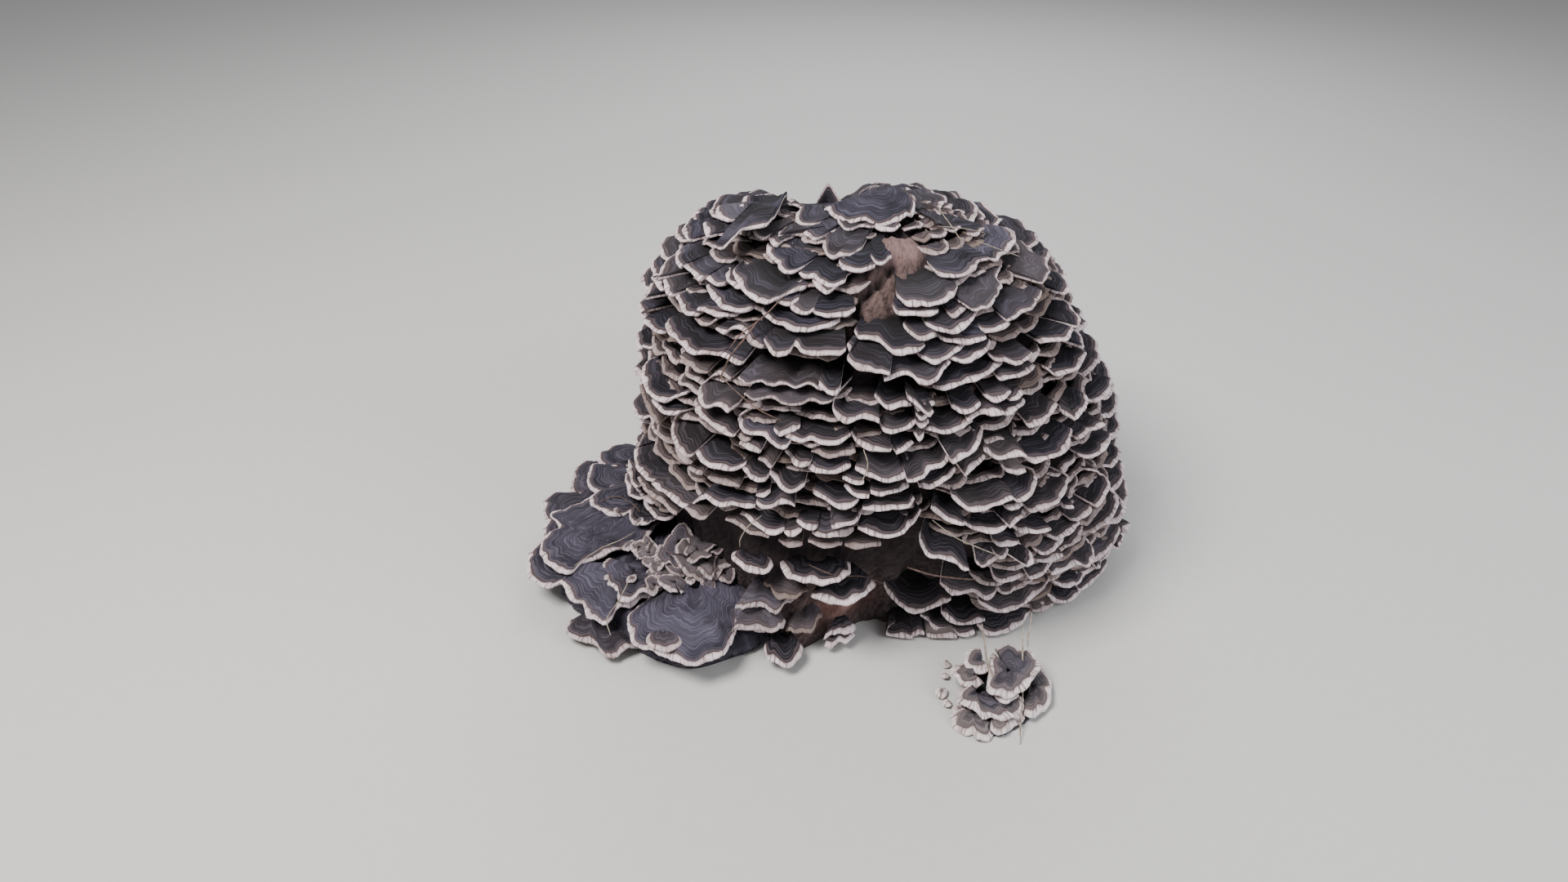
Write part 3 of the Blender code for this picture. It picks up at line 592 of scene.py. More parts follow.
def tinted(kind, chance):
    """The sizes of a kind of cap, and its tone, which differs a little from cap to cap."""
    options = dict(KINDS[kind])
    blue, pale, tan = options.pop("tone", (0.0, 0.0, 0.0))
    blue += chance.uniform(-0.05, 0.22)
    pale += chance.uniform(-0.1, 0.1)
    tan += chance.uniform(-0.1, 0.2)
    return options, (blue, pale, tan)


def seen_caps(shape, specs, chance):
    """Caps whose rims were read off the photograph."""
    for row in specs:
        kind, numbers = (row[0], row[1:]) if isinstance(row[0], str) else ("", row)
        options, tone = tinted(kind, chance)
        options.pop("bulge", None)
        seen_cap(shape, chance, numbers, tone, **options)


def seen_cap(shape, chance, numbers, tone, reach=REACH, nicks=1.0, narrow=1.0, thick=None):
    """One cap from the pixels of its rim."""
    pixels = curve(np.reshape(numbers, (-1, 2)), 6)
    rim, inward, up, flat = seen_rim(pixels, reach, chance.uniform(0.05, 0.3))
    chord = rim[-1] - rim[0]
    arc = np.linalg.norm(np.diff(rim, axis=0), axis=1).sum()
    across = np.cross(up, chord)
    turn = smooth(0.3, 0.8, np.linalg.norm(chord) / arc) * 0.9
    inward = inward + across / max(np.linalg.norm(across), 1e-6) * turn
    inward = inward / np.linalg.norm(inward)
    middle = rim.mean(axis=0)
    tuck = 0.5 + 0.25 * float(smooth(60.0, 140.0, arc))
    back = float(((rim - middle) @ inward).max())
    depth = max(33.0 + reach + flat * 10.0 + 0.1 * arc, (1.0 - tuck) * back + 16.0)
    root = middle + inward * depth + (rim - middle) * tuck
    ends = smooth(0.0, 0.14, from_ends(len(rim)))
    line = np.column_stack([rim, root, narrow * (1.7 - 0.7 * ends), 0.35 + 0.65 * ends])
    shelf(shape, chance, tailed(line), up, root_at(depth), shade_at(flat), thick=thick, wave=SEEN_WAVE,
          nicks=SEEN_NICKS * nicks, tone=tone, roll=ROLL * chance.uniform(0.5, 1.4))


def free_cap(shape, chance, centre, rim, root_thick=6.0, core=0.1, up=(0, 0, 1), shade=OPEN_SHADE, **options):
    """A cap with its own outline: rings round the centre, rim through the points. core is how wide its root
    is, as a share of the rim."""
    rim = curve(rim)
    centre = np.asarray(centre, float)
    root = centre + (rim - centre) * core
    root[:, 2] = centre[2] + 0.15 * (rim[:, 2] - centre[2])
    ends = smooth(0.0, 0.06, from_ends(len(rim)))
    line = np.column_stack([rim, root, np.ones(len(rim)), 0.2 + 0.8 * ends])
    shelf(shape, chance, line, up, root_thick, shade, **options)


# Kinds of cap in the tables: how far it stands out, its tone (blue, pale, tan), how deep its lobes are, how
# much narrower its pale rim is, and how round its front is where it isn't read off the photograph.
KINDS = {
    "": {},
    "deep": {"reach": 4.5, "bulge": 1.25},
    "broad": {"reach": 4.0},
    "lip": {"reach": 8.0},
    "blue": {"reach": 2.0, "tone": (0.8, 0, 0)},
    "haze": {"tone": (0.3, 0, 0)},
    "apron": {"reach": 15.0},
    "tan": {"reach": -4.0, "tone": (0, 0, 0.55), "nicks": 1.6},
    "small": {"reach": 0.5},
    "nick": {"reach": 1.0, "nicks": 2.2},
    "pale": {"reach": 1.0, "tone": (0.1, 0.6, 0)},
    "dusty": {"reach": 2.0, "tone": (0.5, 0, 0.3), "nicks": 3.0, "narrow": 2.8},
    "worn": {"tone": (0.25, 0, 0.1), "nicks": 1.8, "narrow": 1.8},
}

# Rims as the photograph shows them: the kind where it isn't the plain one, then x, y in its 1920 by 1080
# pixels along the outer edge of the rim, with the cap's upper face on the left of the way. Each is set on the
# outline where its line of sight meets it.
CROWN_RIMS = (
    ("haze", 858, 253, 850, 259, 843, 268, 836, 277, 838, 286, 844, 292),
    ("small", 862, 270, 862, 279, 867, 287),
    ("blue", 881, 250, 876, 256, 879, 262, 885, 266, 892, 269, 900, 268),
    (922, 281, 926, 287, 934, 289, 941, 287),
    (941, 287, 944, 294, 950, 298, 956, 293),
    ("worn", 963, 273, 957, 280, 953, 286),
    ("blue", 836, 299, 829, 306, 828, 316, 831, 325, 837, 322, 844, 328, 850, 337, 857, 341, 863, 337, 870,
     341, 877, 347, 885, 347, 893, 342),
    (826, 309, 817, 315, 811, 324, 807, 334, 801, 339),
    (822, 322, 815, 329, 812, 341, 815, 352, 822, 359),
    (822, 342, 825, 354, 830, 365, 835, 376, 842, 382, 853, 384),
    (797, 338, 803, 346, 810, 353),
    (797, 344, 794, 353, 788, 362),
    (783, 371, 784, 380, 791, 379),
    (853, 376, 861, 377, 870, 380, 879, 384, 891, 385, 901, 383, 907, 378),
    ("tan", 852, 387, 858, 395, 868, 396, 881, 394, 894, 390),
    (863, 341, 867, 352, 873, 362, 881, 371, 891, 376, 903, 378, 914, 378, 923, 373),
    (892, 325, 889, 334, 891, 342, 898, 346, 905, 349),
    ("broad", 904, 321, 898, 330, 901, 340, 908, 349, 917, 359, 926, 365, 938, 367, 951, 362, 962, 357, 975,
     354, 986, 350, 990, 343),
    (949, 364, 956, 369, 966, 370, 978, 364),
    (932, 375, 937, 383, 946, 390, 957, 394, 966, 399, 976, 402, 990, 401, 1005, 398, 1017, 396, 1029, 389),
    (966, 366, 969, 375, 977, 380, 988, 381, 999, 376),
    (996, 380, 1008, 383, 1022, 385, 1037, 384, 1048, 376),
    ("haze", 940, 296, 939, 306, 945, 314, 953, 319, 953, 327, 960, 331, 970, 331, 981, 326),
    (978, 331, 986, 336, 996, 337, 1004, 343, 1013, 347, 1022, 346, 1035, 342),
    (995, 341, 1001, 349, 1011, 355, 1021, 351, 1028, 345),
    ("haze", 983, 251, 976, 259, 975, 267, 982, 272, 992, 274, 1003, 271, 1011, 266),
    ("haze", 982, 276, 986, 283, 992, 285, 997, 291, 1005, 288),
    ("worn", 1036, 246, 1029, 253, 1026, 262, 1028, 270, 1034, 277, 1043, 278, 1052, 274, 1060, 276, 1070,
     275),
    ("haze", 1016, 283, 1010, 290, 1008, 299, 1012, 308, 1019, 313, 1028, 309, 1041, 308, 1055, 302),
    (1027, 317, 1032, 325, 1044, 329, 1059, 329, 1072, 322),
    ("tan", 1024, 331, 1031, 338, 1043, 335),
    ("small", 1066, 312, 1072, 319, 1082, 320, 1092, 313),
    ("haze", 1071, 275, 1082, 279, 1095, 278, 1103, 273),
    ("broad", 1098, 347, 1098, 356, 1103, 364, 1112, 370, 1122, 371, 1130, 368, 1138, 370, 1150, 368, 1161,
     364, 1169, 357, 1173, 347),
    (1093, 372, 1098, 380, 1110, 383, 1125, 382, 1140, 382, 1150, 378),
    ("small", 1155, 372, 1160, 379, 1168, 385, 1177, 381, 1184, 374),
    ("haze", 1136, 319, 1142, 327, 1151, 333, 1163, 336, 1176, 336, 1188, 331, 1195, 324, 1201, 317, 1212,
     314),
    ("worn", 1192, 376, 1202, 375, 1211, 372, 1217, 365, 1222, 356, 1226, 347, 1222, 339, 1222, 331, 1227,
     321),
    (1130, 388, 1136, 395, 1147, 400, 1158, 404, 1172, 404, 1181, 398, 1189, 391, 1196, 382, 1198, 371),
    (1190, 393, 1199, 400, 1208, 404, 1219, 403, 1229, 399, 1237, 393),
    ("worn", 1234, 390, 1243, 385, 1253, 380, 1264, 374, 1272, 364, 1276, 353),
    ("blue", 1222, 317, 1227, 309, 1235, 304, 1242, 295, 1240, 285, 1233, 277, 1222, 276),
    ("worn", 1153, 272, 1158, 279, 1168, 281, 1176, 275),
    ("worn", 1183, 275, 1187, 283, 1197, 283, 1205, 276),
    ("worn", 1277, 344, 1285, 331, 1282, 319, 1275, 312, 1266, 307, 1258, 300, 1251, 293),
    (1304, 358, 1311, 351, 1307, 343, 1300, 335, 1292, 330),
    (1321, 398, 1323, 388, 1315, 377, 1306, 368, 1296, 362),
    (1106, 395, 1113, 403, 1122, 410, 1134, 412, 1147, 408),
    (1147, 407, 1158, 413, 1170, 416, 1184, 419, 1197, 415, 1209, 410),
    (1046, 401, 1052, 411, 1064, 413, 1077, 415, 1087, 423, 1096, 431, 1108, 431, 1121, 428, 1133, 420),
    (1122, 429, 1131, 437, 1142, 442, 1153, 440, 1163, 434, 1172, 428, 1181, 420),
    (1163, 436, 1175, 440, 1188, 440, 1199, 434, 1208, 427, 1214, 415),
    (1211, 432, 1219, 439, 1231, 441, 1244, 443, 1256, 439, 1266, 432),
    (1225, 462, 1236, 461, 1248, 458, 1260, 453, 1268, 446),
    (1275, 417, 1286, 414, 1298, 413, 1309, 411, 1315, 400),
    (1284, 450, 1293, 456, 1306, 455, 1319, 450, 1326, 440, 1331, 430),
    (1328, 424, 1326, 412, 1318, 403),
    ("lip", 1037, 419, 1040, 428, 1037, 437, 1045, 444, 1055, 450, 1067, 452, 1078, 454, 1090, 456),
    ("lip", 1083, 463, 1094, 460, 1106, 456, 1117, 459, 1127, 466, 1138, 467, 1148, 462, 1155, 452, 1164,
     441),
    (1143, 470, 1155, 473, 1168, 470, 1180, 467, 1191, 463, 1202, 459, 1212, 453, 1222, 447, 1229, 440),
    (786, 388, 793, 395, 801, 402, 810, 405),
    (819, 387, 815, 396, 818, 405, 827, 411, 834, 419, 842, 427, 853, 430, 868, 430, 884, 430, 892, 423),
    (881, 432, 890, 437, 900, 441, 909, 442),
    ("tan", 834, 433, 843, 443, 853, 452, 867, 453),
    (876, 400, 885, 405, 894, 401, 906, 400, 913, 406, 919, 414, 926, 422, 934, 423),
    ("lip", 935, 413, 940, 423, 947, 430, 957, 432, 967, 428, 972, 421, 980, 427, 991, 430, 1002, 430, 1016,
     432, 1028, 432, 1036, 425),
)
BELLY_RIMS = (
    (792, 440, 787, 448, 786, 460, 789, 471, 796, 481, 806, 488, 816, 488, 827, 483, 839, 479),
    (798, 487, 803, 496, 812, 504, 823, 506, 831, 503),
    ("tan", 783, 470, 787, 485, 794, 501, 804, 517),
    ("haze", 893, 463, 882, 456, 870, 459, 860, 468, 855, 478, 856, 489, 864, 496, 875, 494, 884, 497, 890,
     503, 897, 498, 904, 492),
    (850, 487, 853, 499, 860, 510, 868, 517, 878, 522, 888, 529, 898, 532),
    ("tan", 903, 530, 910, 536, 919, 535),
    (831, 503, 824, 512, 822, 524, 824, 536, 829, 547, 837, 557, 846, 556),
    ("haze", 911, 502, 905, 508, 905, 517, 911, 525, 922, 530, 935, 532, 943, 538, 952, 545, 962, 546, 968,
     539),
    (947, 523, 954, 530, 964, 527, 980, 520),
    ("dusty", 911, 480, 925, 487, 942, 484, 958, 490, 975, 494, 992, 487, 1008, 491, 1022, 486),
    ("dusty", 903, 460, 914, 467, 929, 464, 944, 470, 960, 466, 975, 472, 990, 467, 1004, 474, 1020, 470),
    (960, 532, 971, 535, 982, 539, 994, 536, 1004, 541, 1018, 541, 1031, 539, 1042, 530),
    ("tan", 983, 541, 993, 546, 1004, 543),
    ("tan", 994, 549, 1006, 553, 1017, 557, 1032, 554, 1048, 548),
    (1042, 527, 1048, 536, 1056, 544, 1067, 549, 1080, 551, 1092, 549),
    (1098, 553, 1108, 549, 1119, 540),
    (1027, 477, 1021, 487, 1020, 498, 1026, 508, 1036, 515, 1047, 513, 1057, 509, 1068, 510, 1077, 515),
    (985, 463, 995, 464, 1003, 471, 1012, 478, 1022, 480, 1029, 473),
    (1071, 481, 1078, 490, 1089, 497, 1101, 495, 1116, 493),
    (1077, 514, 1082, 524, 1092, 529, 1103, 524, 1114, 520, 1122, 514),
    ("small", 1122, 505, 1129, 511, 1138, 505),
    ("small", 1123, 517, 1130, 522, 1138, 515),
    ("small", 1124, 500, 1134, 496, 1146, 491),
    ("small", 1119, 528, 1126, 538, 1132, 530),
    (784, 538, 778, 547, 776, 558, 779, 570, 785, 579, 793, 585, 803, 587, 815, 584),
    (797, 589, 805, 596, 814, 601, 821, 609, 831, 615, 843, 618, 850, 614, 855, 610, 863, 607),
    (861, 604, 868, 611, 878, 616, 888, 618, 896, 615, 905, 616, 914, 620, 924, 618),
    (849, 547, 855, 557, 864, 566, 877, 571, 891, 573, 904, 571, 913, 565),
    (909, 572, 916, 580, 925, 585, 935, 586, 941, 580),
    (941, 576, 948, 585, 955, 594, 965, 599, 976, 599, 985, 592),
    ("tan", 842, 571, 850, 577, 861, 577),
    ("tan", 866, 582, 876, 588, 891, 591, 908, 591),
    (904, 541, 915, 548, 930, 552),
    ("tan", 931, 557, 937, 566, 944, 571),
    (961, 549, 967, 556, 972, 565, 981, 568, 991, 566),
    (989, 570, 997, 575, 1009, 577, 1022, 577, 1032, 575, 1042, 568),
    (1047, 572, 1060, 579, 1075, 585, 1092, 587, 1106, 583, 1116, 575, 1117, 566, 1111, 561),
    (1112, 588, 1123, 588, 1132, 583, 1138, 574, 1147, 570, 1157, 566, 1164, 556, 1168, 543),
    (1066, 600, 1078, 603, 1090, 601, 1102, 598, 1114, 592),
    (1126, 594, 1138, 595, 1150, 591, 1162, 584, 1171, 572),
    (1168, 566, 1178, 560, 1189, 553, 1198, 544, 1203, 533, 1204, 522),
    ("small", 1183, 580, 1192, 573, 1200, 564, 1207, 556),
    ("small", 1031, 583, 1043, 589, 1058, 590),
    (995, 601, 1004, 607, 1013, 613, 1024, 618, 1036, 620, 1046, 617, 1052, 610),
    (1034, 592, 1040, 601, 1050, 606, 1064, 607),
    (1056, 621, 1072, 623, 1088, 621, 1103, 621, 1114, 618, 1120, 608),
    ("small", 925, 604, 934, 606, 943, 600),
    (925, 614, 931, 620, 943, 619, 956, 615, 964, 615, 973, 619),
    (912, 629, 920, 638, 931, 646, 942, 651, 953, 652, 960, 647),
    ("small", 960, 650, 966, 655, 974, 653, 982, 648),
    (975, 635, 982, 642, 992, 646, 1001, 643),
    (994, 650, 1003, 655, 1014, 657, 1027, 654, 1038, 652, 1046, 647),
    (1018, 645, 1030, 645, 1042, 640, 1051, 633, 1055, 623),
    (1050, 645, 1062, 652, 1075, 655, 1090, 656, 1104, 653, 1113, 645, 1121, 635, 1128, 624),
    ("tan", 893, 630, 903, 638, 913, 648, 926, 653, 941, 657),
    ("tan", 952, 662, 966, 668, 982, 666),
    ("tan", 989, 661, 1003, 667, 1017, 669, 1032, 664),
    ("tan", 1034, 665, 1050, 670, 1066, 667, 1079, 661),
    (767, 562, 767, 575, 771, 587, 779, 596),
    ("tan", 778, 583, 786, 594, 795, 603, 807, 612, 820, 619, 836, 624),
    ("tan", 838, 620, 850, 630, 862, 632, 871, 627),
)
FLANK_RIMS = (
    (1135, 523, 1148, 526, 1160, 527, 1172, 524, 1182, 519, 1191, 513),
    (1166, 497, 1177, 503, 1189, 502, 1202, 493),
    (1186, 514, 1194, 508, 1205, 503, 1218, 506, 1232, 503),
    (1232, 505, 1242, 502, 1250, 495, 1256, 487),
    (1205, 549, 1213, 555, 1225, 560, 1238, 557, 1250, 555, 1259, 558),
    ("broad", 1258, 560, 1270, 564, 1283, 560, 1296, 556, 1306, 549, 1311, 538, 1314, 524),
    (1255, 513, 1262, 521, 1274, 518, 1283, 509, 1291, 502, 1296, 493),
    (1300, 501, 1308, 505, 1317, 512),
    (1317, 512, 1325, 505, 1331, 494, 1333, 484, 1326, 479),
    (1318, 521, 1330, 523, 1343, 523, 1355, 517),
    (1320, 535, 1329, 531, 1336, 524),
    (1322, 556, 1334, 558, 1348, 553, 1358, 543, 1362, 530),
    ("small", 1207, 483, 1217, 488, 1230, 485, 1239, 477),
    ("small", 1238, 488, 1247, 486, 1254, 477),
    (1330, 487, 1341, 490, 1352, 485, 1360, 475, 1362, 462),
    ("deep", 1166, 606, 1174, 614, 1184, 620, 1195, 624, 1207, 623, 1220, 616, 1233, 612, 1245, 606),
    (1246, 613, 1256, 610, 1264, 603, 1269, 594, 1269, 584, 1265, 573),
    ("small", 1232, 620, 1242, 622, 1253, 617),
    ("pale", 1227, 569, 1235, 576, 1246, 579, 1257, 575),
    (1257, 619, 1264, 625, 1276, 622, 1288, 617, 1297, 613, 1303, 603, 1308, 592, 1310, 583, 1304, 577),
    (1344, 619, 1351, 612, 1356, 602, 1359, 591, 1354, 583, 1345, 576, 1332, 573),
    (1350, 637, 1360, 638, 1371, 635, 1377, 625, 1377, 614, 1370, 604, 1360, 597),
    ("small", 1299, 615, 1306, 620, 1316, 621),
    (1312, 635, 1321, 635, 1330, 630, 1337, 624, 1336, 616),
    (1283, 655, 1294, 658, 1306, 654, 1316, 648, 1323, 637),
    (1241, 643, 1250, 650, 1262, 650, 1276, 650, 1288, 647),
    (1178, 636, 1188, 643, 1200, 649, 1214, 650, 1227, 647, 1235, 641),
    (1238, 644, 1246, 636, 1254, 630, 1257, 622),
    (1140, 620, 1150, 629, 1161, 636, 1171, 640, 1181, 641),
    (1216, 660, 1224, 667, 1236, 667, 1249, 662),
    (1262, 695, 1266, 687, 1264, 676, 1256, 668, 1246, 662),
    (1267, 671, 1277, 677, 1288, 675, 1297, 667, 1303, 658),
    ("small", 1268, 684, 1280, 686, 1293, 684, 1304, 679),
    ("deep", 1127, 653, 1127, 662, 1131, 671, 1138, 679, 1150, 682, 1162, 685, 1173, 690, 1181, 696, 1189,
     698),
    (1196, 688, 1204, 694, 1215, 690, 1224, 682),
    ("small", 1224, 682, 1231, 681, 1236, 671),
)
FOOT_RIMS = (
    (1215, 697, 1219, 709, 1231, 712, 1245, 709, 1258, 702),
    (1262, 708, 1272, 705, 1281, 700, 1287, 692, 1292, 683),
    (1290, 703, 1299, 699, 1311, 694, 1323, 690, 1333, 693, 1340, 683, 1340, 671, 1333, 660),
    (1346, 669, 1357, 672, 1366, 668, 1372, 659),
    (1345, 696, 1350, 686, 1356, 675),
    (1374, 657, 1381, 649, 1386, 639),
    ("small", 1370, 671, 1377, 668, 1383, 659),
    (1292, 711, 1300, 717, 1310, 719, 1319, 713),
    ("small", 1318, 716, 1325, 711, 1330, 703),
    (1322, 722, 1334, 722, 1346, 716, 1356, 706),
    (1352, 703, 1362, 700, 1372, 692, 1379, 680),
    ("deep", 1083, 713, 1087, 724, 1094, 733, 1104, 741, 1113, 748, 1122, 750, 1132, 748, 1145, 742, 1157,
     738, 1166, 733),
    (1152, 714, 1159, 722, 1169, 727, 1181, 727, 1192, 724, 1199, 729, 1208, 734, 1217, 730, 1222, 721),
    ("broad", 1200, 736, 1208, 742, 1220, 748, 1232, 749, 1243, 746, 1253, 740, 1264, 732, 1273, 726, 1280,
     718, 1286, 708),
    (1154, 750, 1162, 758, 1173, 763, 1185, 764, 1197, 761, 1208, 759),
    (1127, 752, 1136, 759, 1143, 767, 1154, 771, 1166, 770, 1174, 776, 1184, 778, 1195, 774),
    (1198, 764, 1205, 773, 1214, 780, 1224, 781, 1236, 775, 1248, 768, 1257, 757, 1267, 742),
    ("deep", 1097, 763, 1088, 769, 1086, 779, 1093, 786, 1103, 792, 1113, 797, 1125, 795),
    ("small", 1124, 797, 1131, 800, 1139, 793),
    ("pale", 1140, 784, 1146, 791, 1156, 791, 1166, 786, 1173, 778),
    (1284, 726, 1292, 734, 1303, 738, 1314, 737, 1324, 730),
    ("tan", 1266, 748, 1278, 748, 1287, 745, 1297, 740),
)
# the torn flap at the crown's left, over its dark hollow
FLAP_RIM = (866, 287, 880, 290, 895, 285, 908, 279, 917, 276, 926, 275, 936, 274, 944, 268, 950, 260, 955,
            251)
# the round cap at the apex: middle (x, y, z), then its rim as bearing, level and how far out
DISC_MIDDLE = (16.0, 16.0, 361.0)
DISC_RIM = ((-60, 462, 0), (-38, 456, 2), (-18, 450, 4), (2, 447, 4), (20, 446, 4), (38, 449, 4),
            (60, 456, 4), (85, 464, 3), (110, 470, 2))
# the upturned point at the top: where it grows out, then its rim, as x, y, z
POINT_ROOT = (-32, 50, 344)
POINT_RIM = ((-49, 28, 344), (-43, 36, 357), (-36, 42, 369), (-31, 43, 374), (-24, 40, 362), (-16, 34, 346))
# a small new growth low in front: bearing, level, how far out, then its size
KNOB = (23, 72, 4)
KNOB_SIZE = 2.2


# The caps on the ground: middle of the rings (x, y, z), rim height, tone, sizes, then the rim as seen
# from the camera on one level, moved along the line of sight to its own height.
SPREAD_READ_AT = 45.0
SPREAD_MOUND_HIGH = 30.0
SPREAD_CAPS = (
    ((-244, 26, 50), 38, (0.1, 0, 0.1), {"wave": 1.2},
     ((-236, 62), (-262, 56), (-277, 50), (-284, 42), (-286, 28), (-287, 16), (-284, 2), (-276, -8))),
    ((-256, -34, 44), 37, (0.1, 0, 0.1), {},
     ((-262, 12), (-284, 1), (-300, -6), (-311, -13), (-305, -30), (-302, -47), (-298, -66), (-288, -80))),
    ((-228, 18, 56), 50, (0, 0, 0), {},
     ((-238, 52), (-258, 48), (-270, 41), (-272, 28), (-269, 14), (-264, 3), (-254, -6), (-238, -10))),
    ((-216, 60, 58), 52, (0, 0, 0), {"wave": 0.8},
     ((-222, 82), (-240, 81), (-256, 77), (-264, 66), (-265, 52), (-258, 43), (-246, 40), (-232, 42))),
    ((-252, -86, 42), 33, (0, 0, 0), {},
     ((-285, -58), (-298, -78), (-306, -92), (-309, -101), (-307, -112), (-303, -124), (-295, -134),
      (-285, -140), (-276, -139), (-266, -135), (-252, -130))),
    ((-212, -112, 50), 37, (0.6, 0, 0), {"bow": 2.4},
     ((-270, -112), (-273, -124), (-271, -136), (-266, -145), (-257, -157), (-248, -164), (-243, -172),
      (-239, -180), (-232, -184), (-225, -186), (-220, -180), (-217, -170), (-206, -162), (-194, -156),
      (-182, -150), (-176, -138))),
    ((-252, -70, 54), 45, (0.35, 0, 0), {"wave": 0.9, "bow": 1.2, "core": 0.02},
     ((-205, -2), (-224, 0), (-240, -5), (-262, -12), (-283, -26), (-298, -37), (-292, -47), (-288, -56),
      (-295, -68), (-299, -80), (-298, -93), (-293, -104), (-284, -113), (-274, -121), (-265, -120),
      (-255, -109), (-240, -98), (-224, -88), (-208, -80), (-196, -62), (-190, -34), (-194, -12),
      (-204, -2))),
    ((-212, -10, 60), 54, (0, 0, 0), {"wave": 0.8},
     ((-232, 14), (-250, 6), (-261, -6), (-262, -18), (-254, -28), (-243, -36), (-230, -38), (-216, -32))),
    ((-206, -118, 52), 47, (0.6, 0, 0.1), {"wave": 1.4, "nicks": 1.6},
     ((-232, -102), (-238, -112), (-232, -130), (-222, -146), (-214, -156), (-200, -152), (-186, -147),
      (-178, -136))),
    ((-150, -134, 52), 34, (0.75, 0, 0), {"wave": 0.5, "bow": 0.8},
     ((-176, -126), (-182, -140), (-186, -153), (-197, -164), (-204, -173), (-205, -186), (-202, -199),
      (-197, -209), (-189, -216), (-178, -219), (-168, -225), (-158, -231), (-147, -234), (-134, -230),
      (-123, -224), (-116, -214), (-113, -202), (-111, -190), (-106, -176), (-100, -158), (-106, -134))),
    ((-106, -166, 42), 31, (0.5, 0.1, 0.1), {"wave": 1.2, "nicks": 1.5},
     ((-124, -176), (-116, -190), (-108, -194), (-98, -193), (-90, -193), (-82, -192), (-76, -184),
      (-80, -170))),
    ((-174, -196, 42), 39, (0.1, 0.05, 0.25), {"wave": 0.8, "roll": 0.8},
     ((-185, -200), (-186, -209), (-180, -216), (-171, -219), (-162, -216), (-157, -209), (-161, -201))),
    ((-236, -172, 20), 14, (0.1, 0, 0.25), {"wave": 1.5, "nicks": 2.0},
     ((-258, -186), (-256, -198), (-246, -204), (-236, -208), (-226, -217), (-214, -224), (-204, -221),
      (-196, -212), (-192, -200))),
    ((-86, -170, 46), 42, (0.1, 0.2, 0.3), {"nicks": 1.4},
     ((-104, -163), (-104, -169), (-98, -173), (-90, -172), (-82, -173), (-76, -170), (-74, -163))),
)
SPREAD_MOUND = ((-200, 66), (-236, 62), (-268, 26), (-284, -30), (-286, -92), (-258, -136), (-224, -162),
                (-186, -190), (-150, -202), (-116, -190), (-92, -176), (-84, -150), (-120, -100), (-170, 10))
# low tiers at the foot of the mound on the left, behind the spread: left and right bearing, level, kind
SIDE_CAPS = (
    (-118, -100, 104, "tan"), (-104, -86, 108, ""), (-90, -74, 104, "tan"), (-80, -64, 108, "tan"),
    (-116, -98, 88, ""), (-100, -84, 92, "tan"), (-88, -70, 88, ""), (-74, -60, 94, "tan"),
    (-120, -104, 72, ""), (-106, -90, 74, "apron"), (-94, -78, 72, "apron"), (-80, -66, 76, ""),
    (-122, -106, 54, "apron"), (-110, -94, 56, "apron"), (-98, -82, 56, "apron"), (-84, -72, 58, "apron"),
    (-124, -108, 36, "apron"), (-112, -96, 38, "apron"), (-124, -110, 16, "apron"), (-114, -98, 18, "apron"),
)
# what is added to the blue of the heap's tones, and what share of their pale and tan is kept
HEAP_BLUE = 0.2
HEAP_PALE = 0.45
HEAP_TAN = 0.7
# crumpled old caps heaped where the spread meets the mound: x, y, height, size, tone
DEBRIS = (
    (-158, -66, 66, 17, (0.2, 0.1, 0.5)), (-146, -78, 70, 15, (0.1, 0.5, 0.2)),
    (-168, -82, 68, 15, (0.3, 0.1, 0.3)), (-150, -92, 68, 14, (0, 0.8, 0.2)),
    (-136, -88, 68, 12, (0, 0.7, 0.3)), (-176, -98, 62, 13, (0.4, 0.2, 0.2)),
    (-160, -102, 62, 14, (0, 0.7, 0.1)), (-142, -106, 60, 13, (0, 0.8, 0.2)),
    (-128, -104, 60, 10, (0, 0.6, 0.3)), (-188, -108, 58, 9, (0, 1, 0)), (-184, -118, 54, 10, (0, 0.9, 0.1)),
    (-190, -124, 52, 8, (0, 0.9, 0)), (-152, -116, 56, 11, (0.1, 0.5, 0.3)),
    (-168, -116, 56, 9, (0.2, 0.3, 0.4)), (-136, -120, 54, 9, (0, 0.6, 0.3)),
    (-169, -136, 54, 11, (0, 0.6, 0)), (-155, -131, 52, 4, (0, 1, 0)), (-124, -124, 50, 8, (0, 0.3, 0.5)),
    (-186, -140, 50, 8, (0.1, 0.3, 0.4)), (-140, -134, 50, 7, (0.1, 0.4, 0.3)),
    (-196, -96, 58, 9, (0.1, 0.8, 0.1)), (-206, -88, 57, 9, (0, 0.9, 0.1)), (-214, -84, 56, 7, (0, 0.9, 0)),
    (-198, -84, 58, 6, (0, 0.8, 0.2)), (-233, -32, 57, 3.5, (0, 1, 0)), (-212, -48, 57, 3.5, (0, 1, 0)),
    (-208, -130, 55, 4, (0, 0.9, 0.3)), (-130, -76, 68, 9, (0, 0.6, 0.3)), (-118, -96, 62, 7, (0, 0.7, 0.2)),
    (-120, -112, 54, 6, (0, 0.9, 0.1)),
)
